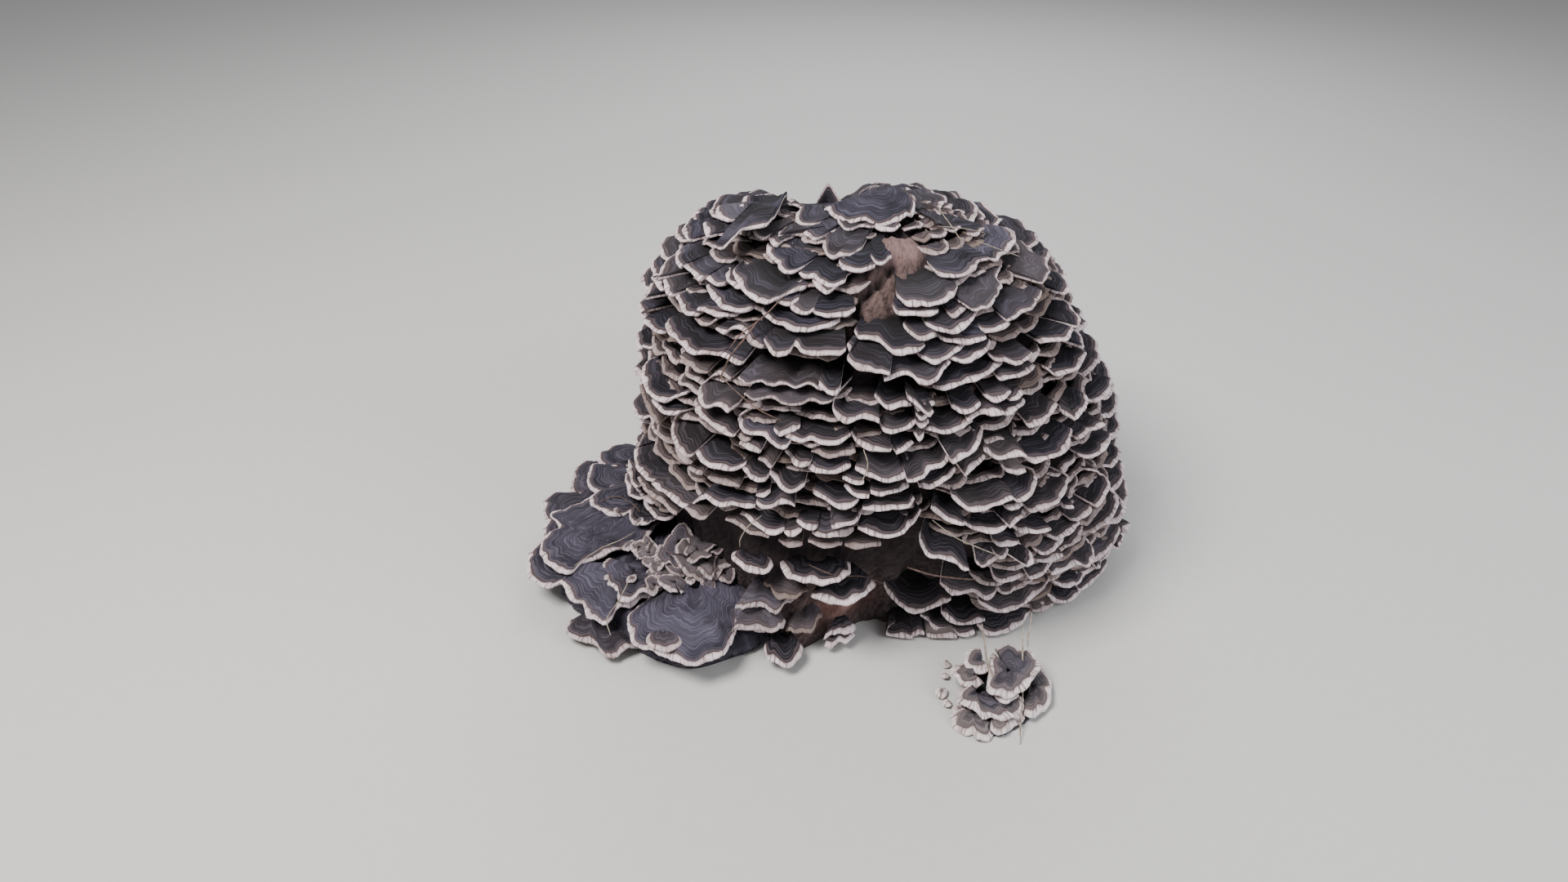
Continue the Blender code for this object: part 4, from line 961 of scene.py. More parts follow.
# the rosette on the ground in front, in the same way
ROSETTE_READ_AT = 25.0
ROSETTE_MOUND_HIGH = 7.0
ROSETTE_CAPS = (
    ((136, -240, 18), 10, (0, 0.1, 0), {},
     ((146, -214), (151, -226), (154, -237), (152, -246), (148, -255), (143, -264), (136, -270), (128, -272),
      (122, -266))),
    ((84, -268, 11), 5, (0, 0.2, 0), {"wave": 1.2, "nicks": 1.3},
     ((74, -262), (66, -272), (67, -281), (72, -288), (77, -291), (81, -289), (83, -295), (89, -296),
      (95, -293), (101, -286))),
    ((108, -262, 14), 8, (0, 0.3, 0), {},
     ((97, -270), (94, -277), (95, -284), (99, -288), (105, -288), (112, -284), (119, -280), (123, -272),
      (124, -264))),
    ((90, -246, 22), 16, (0.1, 0, 0), {"wave": 1.1, "nicks": 1.2},
     ((84, -234), (77, -243), (74, -251), (75, -259), (80, -264), (87, -266), (91, -270), (99, -273),
      (107, -275), (113, -273), (118, -274), (122, -268), (126, -262), (127, -252))),
    ((91, -228, 26), 21, (0, 0.2, 0), {"wave": 1.1},
     ((88, -212), (79, -215), (73, -220), (72, -228), (75, -234), (81, -238), (89, -239), (97, -237))),
    ((100, -211, 31), 27, (0.2, 0, 0), {},
     ((100, -196), (92, -199), (86, -204), (83, -211), (85, -217), (90, -221), (97, -224), (104, -222))),
    ((120, -222, 34), 30, (0.3, 0.05, 0), {"wave": 1.2, "bow": 2.0},
     ((113, -197), (122, -194), (132, -195), (141, -200), (146, -208), (147, -217), (143, -226), (139, -233),
      (132, -240), (125, -246), (117, -250), (109, -251), (102, -247), (99, -240), (101, -231), (105, -221),
      (107, -209), (110, -202))),
    ((112, -243, 27), 24, (0, 0.4, 0), {"wave": 0.9},
     ((102, -246), (105, -253), (112, -256), (119, -254), (124, -249))),
)
ROSETTE_MOUND = ((92, -206), (82, -230), (80, -256), (92, -274), (110, -272), (128, -262), (140, -246),
                 (138, -222), (128, -204), (110, -198))
# new growths at its left: x, y, size; their height, how far they are moved right, and how much of the size
# is built
LUMP_HEIGHT = 5.0
LUMP_RIGHT = 4.0
LUMP_SHARE = 0.6
ROSETTE_LUMPS = ((64, -214, 7), (62, -229, 6), (57, -247, 9), (68, -266, 9), (60, -258, 6))
# Caps on the bare wood: height, how far behind the ends of the rim the cap grows out, rise, and the rim in
# the photograph's pixels.
LONE_CAPS = (
    ("lone_cap_left", "lone_bracket_left", (
        (105, 3, 3, 898, 674, 898, 682, 907, 690, 917, 696, 930, 698, 940, 696, 947, 690, 945, 683),)),
    ("lone_cap_middle", "lone_bracket_middle", (
        (104, 3, 4, 956, 685, 957, 694, 965, 702, 977, 707, 992, 710, 1007, 711, 1023, 709, 1034, 703, 1042,
         696, 1041, 687),)),
    ("lone_cap_right", "lone_bracket_right", (
        (83, 24, 13, 993, 726, 1003, 731, 1013, 734, 1028, 736, 1042, 734, 1053, 730, 1062, 724, 1072,
         712),)),
    ("low_cap_front", "low_bracket_front", (
        (24, 16, 8, 1009, 779, 1016, 774, 1022, 776, 1028, 771, 1036, 771, 1043, 768, 1048, 766),
        (14, 16, 7, 1010, 787, 1017, 789, 1023, 787, 1028, 782, 1035, 784, 1041, 780, 1047, 774))),
    ("low_cap_side", "low_bracket_side", (
        (17, 13, 9, 936, 788, 938, 798, 943, 806, 952, 811, 962, 812, 972, 809, 980, 801, 983, 790),)),
)
# The grey purple growth that runs over the wood between the blue cap and the bare wood: how dull its rim is,
# then as above.
MANTLE_CAPS = (
    (0.75, 76, 22, 10, 935, 712, 944, 722, 956, 727, 968, 729, 981, 727, 990, 720),
    (0.1, 60, 30, 14, 900, 742, 916, 741, 931, 740, 945, 744, 957, 743, 966, 737, 972, 728),
    (0.15, 44, 34, 18, 896, 771, 905, 768, 915, 766, 926, 767, 936, 767, 946, 773, 955, 768, 962, 758),
    (0.7, 34, 34, 14, 962, 770, 972, 772, 981, 768, 992, 770, 1001, 762, 1007, 750),
)
# needles and stems: kind, radius, then bearing, level and how far out
LITTER = (
    ("needle", 0.75, ((-31, 331, 7), (-33, 312, 8), (-35, 296, 9), (-37, 274, 6))),
    ("needle", 0.6, ((-27, 356, 5), (-30, 336, 6), (-34, 316, 8), (-36, 300, 9))),
    ("needle", 0.5, ((-38, 282, 9), (-33, 272, 6), (-27, 262, 5), (-21, 256, 4))),
    ("stem", 0.45, ((-24, 172, 5), (-27, 158, 6), (-29, 142, 6), (-30, 128, 2))),
    ("needle", 0.55, ((-14, 122, 2), (-8, 108, 5), (-1, 92, 4), (6, 74, 5))),
    ("needle", 0.8, ((8, 128, 4), (14, 116, 5), (21, 104, 5), (26, 96, 4))),
    ("stem", 0.45, ((12, 178, 5), (17, 160, 6), (23, 144, 6), (29, 128, 6))),
    ("stem", 0.5, ((-3, 240, 5), (-2, 228, 6), (-3, 214, 5))),
    ("stem", 0.4, ((40, 402, 4), (48, 420, 3), (60, 436, 4))),
    ("stem", 0.4, ((56, 396, 4), (50, 412, 3), (40, 424, 4))),
    ("stem", 0.4, ((58, 360, 4), (52, 378, 4), (47, 396, 4))),
)
# stems that reach the ground or lie on the spread caps: kind, radius, then x, y, z
GROUND_LITTER = (
    ("stem", 0.9, ((96, -206, 62), (99, -213, 46), (101, -221, 34), (103, -232, 31), (106, -246, 29))),
    ("stem", 0.8, ((134, -196, 50), (131, -222, 32), (128, -248, 18), (124, -268, 8), (122, -282, 1))),
    ("stem", 0.7, ((142, -188, 58), (139, -199, 44), (138, -206, 34))),
    ("stem", 0.5, ((-219, -196, 38), (-224, -180, 42), (-216, -160, 45), (-208, -140, 52))),
    ("stem", 0.45, ((-120, -120, 58), (-112, -100, 76), (-104, -84, 92), (-98, -78, 108))),
    ("stem", 0.45, ((-262, -118, 48), (-240, -101, 54), (-222, -92, 57), (-208, -80, 58))),
    ("needle", 0.5, ((-250, -36, 58), (-234, -30, 60), (-218, -38, 58), (-208, -52, 58))),
)


# kinds in the tiers that aren't seen, and the levels over which they grow to twice the width
TIER_KINDS = ("", "", "", "haze", "tan", "deep", "nick")
WIDER_FROM = 330.0
WIDER_BY = 90.0
# how much coarser the hidden caps are
RECESSED_COARSE = 2.0


def cap_table(shape, specs, chance):
    """Builds the caps of a table: left and right bearing, level, rise from left to right, and kind."""
    for left, right, level, rise, kind in specs:
        options, tone = tinted(kind, chance)
        options["reach"] = options.get("reach", REACH) + chance.uniform(-2.5, 3.0)
        options["lift"] = chance.uniform(0.05, 0.42)
        options["square"] = chance.uniform(2.3, 3.1)
        cap(shape, chance, left, right, level, rise, tone=tone, **options)


def tier_caps(shape, first, last, levels, widths, chance):
    """Tiers of caps over a stretch that isn't seen from the front, in the rhythm of the front. Bearings and
    widths are degrees, and the caps are wider towards the top, where the outline draws in."""
    specs = []
    for level in levels:
        scale = 1.0 + max(0.0, level - WIDER_FROM) / WIDER_BY
        bearing = first + chance.uniform(-4.0, 6.0)
        while bearing < last - 5.0:
            width = chance.uniform(*widths) * scale
            right = min(bearing + width, last + 2.0)
            specs.append((bearing, right, level + chance.uniform(-5.0, 5.0), chance.uniform(-6.0, 6.0),
                          chance.choice(TIER_KINDS)))
            bearing = right - chance.uniform(-1.0, 2.0) * scale
    cap_table(shape, specs, chance)


def recessed_caps(shape, first, last, low, high, chance, out, step=13.0):
    """Old tan caps deep between the tiers, darkened by the painted shade of the caps above, so that no gap
    looks through to the wood.
    """
    shape.coarse *= RECESSED_COARSE
    level = low
    while level < high:
        bearing = first + chance.uniform(0.0, 5.0)
        while bearing < last:
            width = chance.uniform(9.0, 15.0)
            tone = (0.0, 0.0, chance.uniform(0.3, 0.9))
            cap(shape, chance, bearing, bearing + width, level + chance.uniform(-4.0, 4.0),
                chance.uniform(-3, 3), chance.uniform(*out), tone, depth=20.0, thick=2.0)
            bearing += width
        level += step
    shape.coarse /= RECESSED_COARSE


def seen_at(points, read_at, height):
    """Plan readings made from the camera at one height, moved along the line of sight to another."""
    place = np.array(CAMERA_PLACE) / MM
    points = np.asarray(points, float)
    plan = place[:2] + (points - place[:2]) * (place[2] - height) / (place[2] - read_at)
    return np.column_stack([plan, np.full(len(plan), height)])


def ground_caps(shape, chance, specs, read_at):
    """Caps given by their outline in plan, lowest first."""
    for centre, height, tone, options, rim in specs:
        rim = seen_at(rim, read_at, height)
        middle = seen_at([centre[:2]], read_at, centre[2])[0]
        free_cap(shape, chance, middle, rim, tone=tone, thick=3.0, root_thick=7.0, **options)


def wood_cap(shape, chance, numbers, **options):
    """A cap whose rim is read off the photograph at a known height."""
    height, back, rise, *pixels = numbers
    eye = np.array(CAMERA_PLACE) / MM
    rays = sight(np.reshape(pixels, (-1, 2)).astype(float))
    rim = eye + rays * ((height - eye[2]) / rays[:, 2])[:, None]
    centre = (rim[0] + rim[-1]) / 2 + np.array([0.0, back, rise])
    free_cap(shape, chance, centre, rim, shade=(13.0, 34.0), **options)


# rows of a mound: share of its width, share of its height
MOUND_ROWS = ((0.97, 0.0), (1.0, 0.25), (0.96, 0.6), (0.86, 0.85), (0.6, 1.0), (0.25, 1.06))
# how far in from a rim the bands take a mound to be, and how far along it its points run
MOUND_INNER = 30.0
MOUND_LONG = 90
# sides of a needle or stem, and the step of its points
STRAND_SIDES = 6
STRAND_STEP = 4.0


def mound(shape, chance, corners, top):
    """Dark old growth that carries low caps and stands flat on the ground."""
    ring = curve(np.array(corners + corners[:1], float))[:-1]
    middle = ring.mean(axis=0)
    rows = []
    for share, height in MOUND_ROWS:
        rough = np.array([chance.uniform(-1.5, 1.5) for _ in ring]) * (height > 0)
        plan = middle + (ring - middle) * share
        rows.append(np.column_stack([plan + rough[:, None], np.full(len(ring), top * height) + rough]))
        rows[-1][:, 2] = np.maximum(rows[-1][:, 2], 0.0)
    top_point = [middle[0], middle[1], top * MOUND_ROWS[-1][1]]
    points = np.concatenate(rows + [[top_point], [[middle[0], middle[1], 0.0]]])
    turned = float(np.cross(ring[1] - ring[0], middle - ring[0])) > 0
    along = np.linspace(0, MOUND_LONG, len(points))
    zone = np.column_stack([np.full(len(points), MOUND_INNER), along, np.zeros(len(points))])
    shape.add(points, turned_faces(len(rows), len(ring), turned), zone)


def flake(shape, chance, x, y, z, size, tone):
    """A crumpled old cap, broken all round."""
    start = chance.uniform(0.0, 6.3)
    tilt = np.array([chance.uniform(-0.4, 0.4), chance.uniform(-0.6, 0.2), 1.0])
    tilt = tilt / np.linalg.norm(tilt)
    rim = []
    for k in range(9):
        turn = start + 6.1 * k / 8.0
        radius = size * chance.uniform(0.65, 1.2)
        plan = np.array([radius * math.cos(turn), radius * math.sin(turn), 0.0])
        plan[2] = -(plan @ tilt) / tilt[2] + size * chance.uniform(-0.22, 0.22)
        rim.append((x + plan[0], y + plan[1], z + plan[2]))
    free_cap(shape, chance, (x, y, z + size * 0.12), rim, tone=tone, wave=1.4, nicks=1.5, thick=2.0, roll=1.0,
             root_thick=5.0, core=0.2, bow=0.5)


def lump(shape, chance, x, y, z, size):
    """A small round new growth."""
    rim = []
    for k in range(8):
        turn = 6.1 * k / 7.0
        rim.append((x + size * chance.uniform(0.8, 1.1) * math.cos(turn), y + size * math.sin(turn), z))
    free_cap(shape, chance, (x, y, z + size * 0.5), rim, root_thick=size * 0.5, tone=(0.0, 0.9, 0.0),
             wave=0.4, thick=size * 0.5, roll=0.8, bow=1.0)


def tube(shape, path, radius):
    """A thin round strand along the points, tapering at both ends."""
    path = even(curve(path), STRAND_STEP)
    along = np.gradient(path, axis=0)
    along = along / np.linalg.norm(along, axis=1)[:, None]
    side = np.cross(along, (0.3, 0.2, 1.0))
    side = side / np.linalg.norm(side, axis=1)[:, None]
    other = np.cross(along, side)
    taper = radius * (0.45 + 0.55 * smooth(0.0, 0.15, from_ends(len(path))))
    rows = []
    for k in range(STRAND_SIDES):
        turn = 2 * math.pi * k / STRAND_SIDES
        rows.append(path + (side * math.cos(turn) + other * math.sin(turn)) * taper[:, None])
    zone = np.zeros((STRAND_SIDES * len(path), 3))
    zone[:, 1] = np.tile(np.arange(len(path)) * STRAND_STEP, STRAND_SIDES)
    shape.add(np.concatenate(rows), ring_faces(STRAND_SIDES, len(path)), zone)


# ---------------------------------------------------------------- materials

def node(tree, kind, **settings):
    made = tree.nodes.new(kind)
    for key, value in settings.items():
        setattr(made, key, value)
    return made


def plug(tree, source, target):
    """Links a socket, or sets a plain value."""
    if hasattr(source, "is_output"):
        tree.links.new(source, target)
    else:
        target.default_value = source


def sums(tree, operation, *values, clamp=False):
    made = node(tree, "ShaderNodeMath", operation=operation, use_clamp=clamp)
    for socket, value in zip(made.inputs, values):
        plug(tree, value, socket)
    return made.outputs[0]


def times(tree, first, second, clamp=False):
    return sums(tree, "MULTIPLY", first, second, clamp=clamp)


def plus(tree, first, second, clamp=False):
    return sums(tree, "ADD", first, second, clamp=clamp)


def less(tree, first, second):
    return sums(tree, "SUBTRACT", first, second)


def around(tree, value, middle, near, far):
    """1 within near of the middle, 0 beyond far."""
    return less(tree, 1.0, fade(tree, sums(tree, "ABSOLUTE", less(tree, value, middle)), near, far))


def ramp(tree, value, least, more):
    """least where the value is 0, least and more where it is 1."""
    return plus(tree, least, times(tree, value, more))


def blend(tree, share, first, second):
    made = node(tree, "ShaderNodeMix", data_type="RGBA", blend_type="MIX")
    plug(tree, share, made.inputs[0])
    for value, socket in ((first, made.inputs[6]), (second, made.inputs[7])):
        plug(tree, (*value, 1.0) if isinstance(value, tuple) else value, socket)
    return made.outputs[2]


def fade(tree, value, low, high):
    """0 at low, 1 at high, smooth between."""
    made = node(tree, "ShaderNodeMapRange", interpolation_type="SMOOTHSTEP")
    for socket, number in zip(made.inputs, (value, low, high, 0.0, 1.0)):
        plug(tree, number, socket)
    return made.outputs[0]


def noise(tree, scale, detail=3.0, vector=None, dimensions="3D", w=None, rough=0.55):
    made = node(tree, "ShaderNodeTexNoise", noise_dimensions=dimensions)
    made.inputs["Scale"].default_value = scale
    made.inputs["Detail"].default_value = detail
    made.inputs["Roughness"].default_value = rough
    if vector is not None:
        tree.links.new(vector, made.inputs["Vector"])
    if w is not None:
        tree.links.new(w, made.inputs["W"])
    return made.outputs[0]


def attribute(tree, name):
    """The three numbers of a point attribute."""
    found = node(tree, "ShaderNodeSeparateXYZ")
    tree.links.new(node(tree, "ShaderNodeAttribute", attribute_name=name).outputs["Vector"], found.inputs[0])
    return found.outputs[:3]


def join(tree, x, y):
    made = node(tree, "ShaderNodeCombineXYZ")
    plug(tree, x, made.inputs[0])
    plug(tree, y, made.inputs[1])
    return made.outputs[0]


# noise of the bands and the grain: scale in turns per millimetre, or per metre where it says so
WANDER = 0.055
PATCHES_A_METRE = 42.0
BROAD_BANDS = 0.16
FINE_BANDS = 0.58
STREAKS = 0.8
NICKS = 0.38
BLOOM_A_METRE = 30.0
SOIL_A_METRE = 120.0
PORES_A_METRE = 1500.0
FELT_A_METRE = 1400.0
GRAIN = 0.26
BLOTCHES_A_METRE = 60.0
MOTTLES_A_METRE = 260.0
FIBRES_A_METRE = 90.0
# how matt the surfaces are, and how high their relief is, in metres
CAP_SPECULAR = 0.18
CAP_RELIEF = 0.0007
WOOD_ROUGH = 0.9
WOOD_SPECULAR = 0.2
WOOD_RELIEF = 0.0022
STRAND_ROUGH = 0.7
STRAND_RELIEF = 0.0003
FLOOR_ROUGH = 0.9
# how far the bands wander in and out, in millimetres
BAND_WANDER = 3.0
# colours that all finishes of the caps share
BLOOM_COLOUR = (0.125, 0.113, 0.160)
PALE_COLOUR = (0.36, 0.30, 0.285)
TAN_COLOUR = (0.11, 0.075, 0.055)
# near black of the painted shade under the caps above
PAINTED_SHADE_COLOUR = (0.011, 0.010, 0.010)
MAUVE_LINE = (0.120, 0.090, 0.097)
BROWN_LINE = (0.07, 0.045, 0.04)
RIM_LIGHT = (0.94, 0.81, 0.84)
RIM_INNER = (0.29, 0.215, 0.215)
RIM_NICK = (0.15, 0.105, 0.098)
RIM_SOIL = (0.30, 0.22, 0.20)
RIM_TAN = (0.17, 0.125, 0.105)
UNDER_PALE = (0.24, 0.180, 0.145)
# painted shade deep under a cap
UNDER_SHADE = (0.045, 0.034, 0.029)
PORE_COLOUR = (0.04, 0.028, 0.022)
# colours of the wood beside the two that a user may change
GRAIN_COLOUR = (0.115, 0.088, 0.088)
STRIP_DARK = (0.045, 0.03, 0.027)
PINK_COLOUR = (0.25, 0.160, 0.152)
ROT_DARK = (0.19, 0.095, 0.08)
ROT_LIGHT = (0.50, 0.30, 0.265)
# dark and light of the paper floor, the needles and the stems
FLOOR_COLOURS = ((0.60, 0.59, 0.57), (0.65, 0.64, 0.62))
LITTER_COLOURS = {
    "needle": ((0.065, 0.038, 0.032), (0.165, 0.098, 0.078)),
    "stem": ((0.20, 0.155, 0.115), (0.42, 0.36, 0.29)),
}
# finishes of the caps: slot, width of the rim, its colours' names (dark, light, rim), bloom, pale, and how
# dark the painted shade under the caps above grows
FINISHES = {
    "slate caps": ("slate_caps", 3.0, "slate_dark", "slate_light", "slate_rim", 0.0, 0.0, 0.75),
    # painted shade: the crown's finish is the slate's, darker and more shaded under the caps above, as the
    # crown faces up into more light
    "shaded crown caps": ("slate_caps", 2.8, "slate_dark", "crown_light_shaded", "slate_rim", 0.0, 0.0, 0.85),
    "lavender caps": ("lavender_caps", 3.0, "lavender_dark", "lavender_light", "slate_rim", 0.15, 0.0, 0.3),
    "pale caps": ("pale_caps", 4.2, "pale_dark", "pale_light", "pale_rim", 0.15, 0.8, 0.6),
    "old caps": ("lavender_caps", 2.0, "lavender_dark", "lavender_light", "heap_rim", 0.2, 0.0, 0.7),
}


def band_group():
    """Concentric bands of a cap's upper face, its pale rim and its pored underside."""
    group = bpy.data.node_groups.new("cap bands", "ShaderNodeTree")
    for name in ("Rim Width", "Age", "Bloom", "Pale"):
        group.interface.new_socket(name, in_out="INPUT", socket_type="NodeSocketFloat")
    for name in ("Rim Colour", "Dark Colour", "Light Colour"):
        group.interface.new_socket(name, in_out="INPUT", socket_type="NodeSocketColor")
    group.interface.new_socket("Color", in_out="OUTPUT", socket_type="NodeSocketColor")
    for name in ("Roughness", "Height"):
        group.interface.new_socket(name, in_out="OUTPUT", socket_type="NodeSocketFloat")
    given = node(group, "NodeGroupInput").outputs
    from_rim, along, side = attribute(group, "cap_zone")
    blue, pale, tan = attribute(group, "cap_tone")
    place = node(group, "ShaderNodeNewGeometry").outputs["Position"]

    # the bands wander a little along the rim
    inward = from_rim
    for wander in (noise(group, WANDER, 1.0, dimensions="1D", w=along),
                   noise(group, PATCHES_A_METRE, 1.0, vector=place)):
        inward = plus(group, inward, times(group, less(group, wander, 0.5), BAND_WANDER))
    broad = noise(group, BROAD_BANDS, 1.0, vector=join(group, inward, times(group, along, 0.006)))
    fine = noise(group, FINE_BANDS, 1.5, vector=join(group, inward, times(group, along, 0.03)), rough=0.6)
    streak = noise(group, STREAKS, 3.0, vector=join(group, along, times(group, from_rim, 0.2)))
    thin = fade(group, fine, 0.5, 0.6)
    wide = fade(group, broad, 0.42, 0.6)
    lines = plus(group, times(group, wide, 0.22), times(group, thin, 0.78))
    lines = times(group, lines, ramp(group, streak, 0.55, 0.8))
    top = blend(group, lines, given["Dark Colour"], given["Light Colour"])

    # lavender bloom, pale and tan caps
    bloom = plus(group, blue, given["Bloom"], clamp=True)
    bloom = times(group, bloom, fade(group, noise(group, BLOOM_A_METRE, 2.0, vector=place), 0.32, 0.6))
    bloom = times(group, bloom, ramp(group, lines, 0.38, 0.6))
    top = blend(group, bloom, top, BLOOM_COLOUR)
    outer = times(group, given["Pale"], fade(group, inward, 13.0, 4.0))
    outer = times(group, outer, ramp(group, lines, 0.4, 0.6))
    top = blend(group, times(group, plus(group, pale, outer, clamp=True), 0.75), top, PALE_COLOUR)
    top = blend(group, times(group, tan, 0.4, clamp=True), top, TAN_COLOUR)

    # painted shade: the upper face darkens towards the root, where the caps above keep light off it
    shade = node(group, "ShaderNodeAttribute", attribute_name="cap_shade").outputs["Fac"]
    top = blend(group, times(group, shade, given["Age"]), top, PAINTED_SHADE_COLOUR)

    # a thin brown line, then mauve, between the rim and the bands
    past = less(group, inward, given["Rim Width"])
    top = blend(group, times(group, around(group, past, 1.9, 0.5, 1.5), 0.6), top, MAUVE_LINE)
    top = blend(group, times(group, around(group, past, 0.45, 0.1, 0.7), 0.65), top, BROWN_LINE)

    # the rim, pinker inwards, streaked across, nicked and dirty in places
    rim = blend(group, fade(group, streak, 0.35, 0.75), given["Rim Colour"], RIM_LIGHT)
    rim = blend(group, times(group, fade(group, past, -2.2, 0.3), 0.75), rim, RIM_INNER)
    across = join(group, times(group, along, NICKS), times(group, from_rim, 0.06))
    cut = noise(group, 1.0, 2.0, vector=across)
    rim = blend(group, times(group, fade(group, cut, 0.5, 0.62), 0.8), rim, RIM_NICK)
    soil = fade(group, noise(group, SOIL_A_METRE, 3.0, vector=place), 0.45, 0.72)
    rim = blend(group, times(group, soil, 0.6), rim, RIM_SOIL)
    rim = blend(group, times(group, tan, 1.1, clamp=True), rim, RIM_TAN)
    edge = fade(group, past, 0.5, -0.5)
    top = blend(group, edge, top, rim)

    # underside, pale by the rim and dark brown in the depth, where the dark is painted shade, with fine pores
    pores = node(group, "ShaderNodeTexVoronoi")
    pores.inputs["Scale"].default_value = PORES_A_METRE
    group.links.new(place, pores.inputs["Vector"])
    below = blend(group, fade(group, from_rim, 0.5, 9.0), UNDER_PALE, UNDER_SHADE)
    below = blend(group, times(group, fade(group, pores.outputs[0], 0.45, 0.1), 0.5), below, PORE_COLOUR)

    leave = node(group, "NodeGroupOutput")
    group.links.new(blend(group, fade(group, side, 0.3, 0.8), top, below), leave.inputs["Color"])
    group.links.new(less(group, 0.92, times(group, lines, 0.2)), leave.inputs["Roughness"])
    felt = noise(group, FELT_A_METRE, 2.0, vector=place)
    height = plus(group, times(group, lines, 0.6), times(group, felt, 0.25))
    rib = times(group, streak, ramp(group, edge, 0.15, 0.9))
    group.links.new(plus(group, height, rib), leave.inputs["Height"])
    return group


def new_paint(name, roughness=0.5, specular=0.5):
    """A material, its node tree and its shader."""
    paint = bpy.data.materials.new(name)
    paint.use_nodes = True
    shader = paint.node_tree.nodes["Principled BSDF"]
    shader.inputs["Roughness"].default_value = roughness
    shader.inputs["Specular IOR Level"].default_value = specular
    return paint, paint.node_tree, shader


def emboss(tree, shader, height, strength, distance):
    """Raises a shader's surface by a height."""
    bump = node(tree, "ShaderNodeBump")
    bump.inputs["Strength"].default_value = strength
    bump.inputs["Distance"].default_value = distance
    tree.links.new(height, bump.inputs["Height"])
    tree.links.new(bump.outputs[0], shader.inputs["Normal"])


def cap_paint(name, colours):
    """One finish of the caps; it is made once and then found again by name."""
    if name in bpy.data.materials:
        return bpy.data.materials[name]
    _, rim_width, dark, light, rim, bloom, pale, painted_shade = FINISHES[name]
    paint, tree, shader = new_paint(name, specular=CAP_SPECULAR)
    bands = node(tree, "ShaderNodeGroup", node_tree=bpy.data.node_groups.get("cap bands") or band_group())
    # one of these inputs sets how dark the painted shade under the caps above grows
    for key, value in (("Rim Width", rim_width), ("Age", painted_shade), ("Bloom", bloom), ("Pale", pale)):
        bands.inputs[key].default_value = value
    for key, value in (("Dark Colour", dark), ("Light Colour", light), ("Rim Colour", rim)):
        bands.inputs[key].default_value = (*getattr(colours, value), 1.0)
    tree.links.new(bands.outputs["Color"], shader.inputs["Base Color"])
    tree.links.new(bands.outputs["Roughness"], shader.inputs["Roughness"])
    emboss(tree, shader, bands.outputs["Height"], 0.7, CAP_RELIEF)
    return paint


def wood_paint(colours):
    """Rotten wood: its zone is place round and up the stump, its tone is bare strip, pink patch, red rot."""
    paint, tree, shader = new_paint("rotten wood", WOOD_ROUGH, WOOD_SPECULAR)
    place = node(tree, "ShaderNodeNewGeometry").outputs["Position"]
    round_by, up_by, _ = attribute(tree, "cap_zone")
    strip, pink, red = attribute(tree, "cap_tone")
    slanted = less(tree, round_by, times(tree, up_by, 0.45))
    grain = noise(tree, GRAIN, 6.0, vector=join(tree, slanted, times(tree, up_by, 0.6)), rough=0.72)
    blotch = noise(tree, BLOTCHES_A_METRE, 4.0, vector=place)
    dark = (*colours.wood_dark_and_shade,)
    colour = blend(tree, fade(tree, grain, 0.35, 0.7), dark, GRAIN_COLOUR)
    # painted shade: the wood goes dark above the bare foot, under the overhang of the caps, and stays so up
    # to the strip
    high = fade(tree, up_by, 48.0, 82.0)
    colour = blend(tree, times(tree, high, 0.75), colour, dark)
    bare = blend(tree, fade(tree, grain, 0.3, 0.62), STRIP_DARK, (*colours.wood_light,))
    # painted shade also dulls the bare wood under the overhang, below the belly
    hidden = times(tree, 0.8, times(tree, high, fade(tree, up_by, 200.0, 160.0)))
    colour = blend(tree, times(tree, strip, less(tree, 1.0, hidden)), colour, bare)
    worn = times(tree, fade(tree, blotch, 0.2, 0.5), fade(tree, grain, 0.28, 0.52))
    colour = blend(tree, times(tree, pink, worn), colour, PINK_COLOUR)
    rot = blend(tree, fade(tree, blotch, 0.4, 0.65), ROT_DARK, ROT_LIGHT)
    colour = blend(tree, times(tree, red, fade(tree, grain, 0.2, 0.42)), colour, rot)
    tree.links.new(colour, shader.inputs["Base Color"])
    emboss(tree, shader, plus(tree, grain, times(tree, blotch, 0.4)), 1.0, WOOD_RELIEF)
    return paint


def strand_paint(kind):
    """Dry needles and stems, mottled along their length."""
    paint, tree, shader = new_paint(kind, STRAND_ROUGH)
    mottle = noise(tree, MOTTLES_A_METRE, 4.0, vector=node(tree, "ShaderNodeNewGeometry").outputs["Position"])
    colour = blend(tree, fade(tree, mottle, 0.3, 0.7), *LITTER_COLOURS[kind])
    tree.links.new(colour, shader.inputs["Base Color"])
    emboss(tree, shader, mottle, 0.4, STRAND_RELIEF)
    return paint


def floor_paint():
    paint, tree, shader = new_paint("floor paper", FLOOR_ROUGH)
    fibre = noise(tree, FIBRES_A_METRE, 4.0, vector=node(tree, "ShaderNodeNewGeometry").outputs["Position"])
    tree.links.new(blend(tree, fibre, *FLOOR_COLOURS), shader.inputs["Base Color"])
    return paint


# ---------------------------------------------------------------- stage and camera

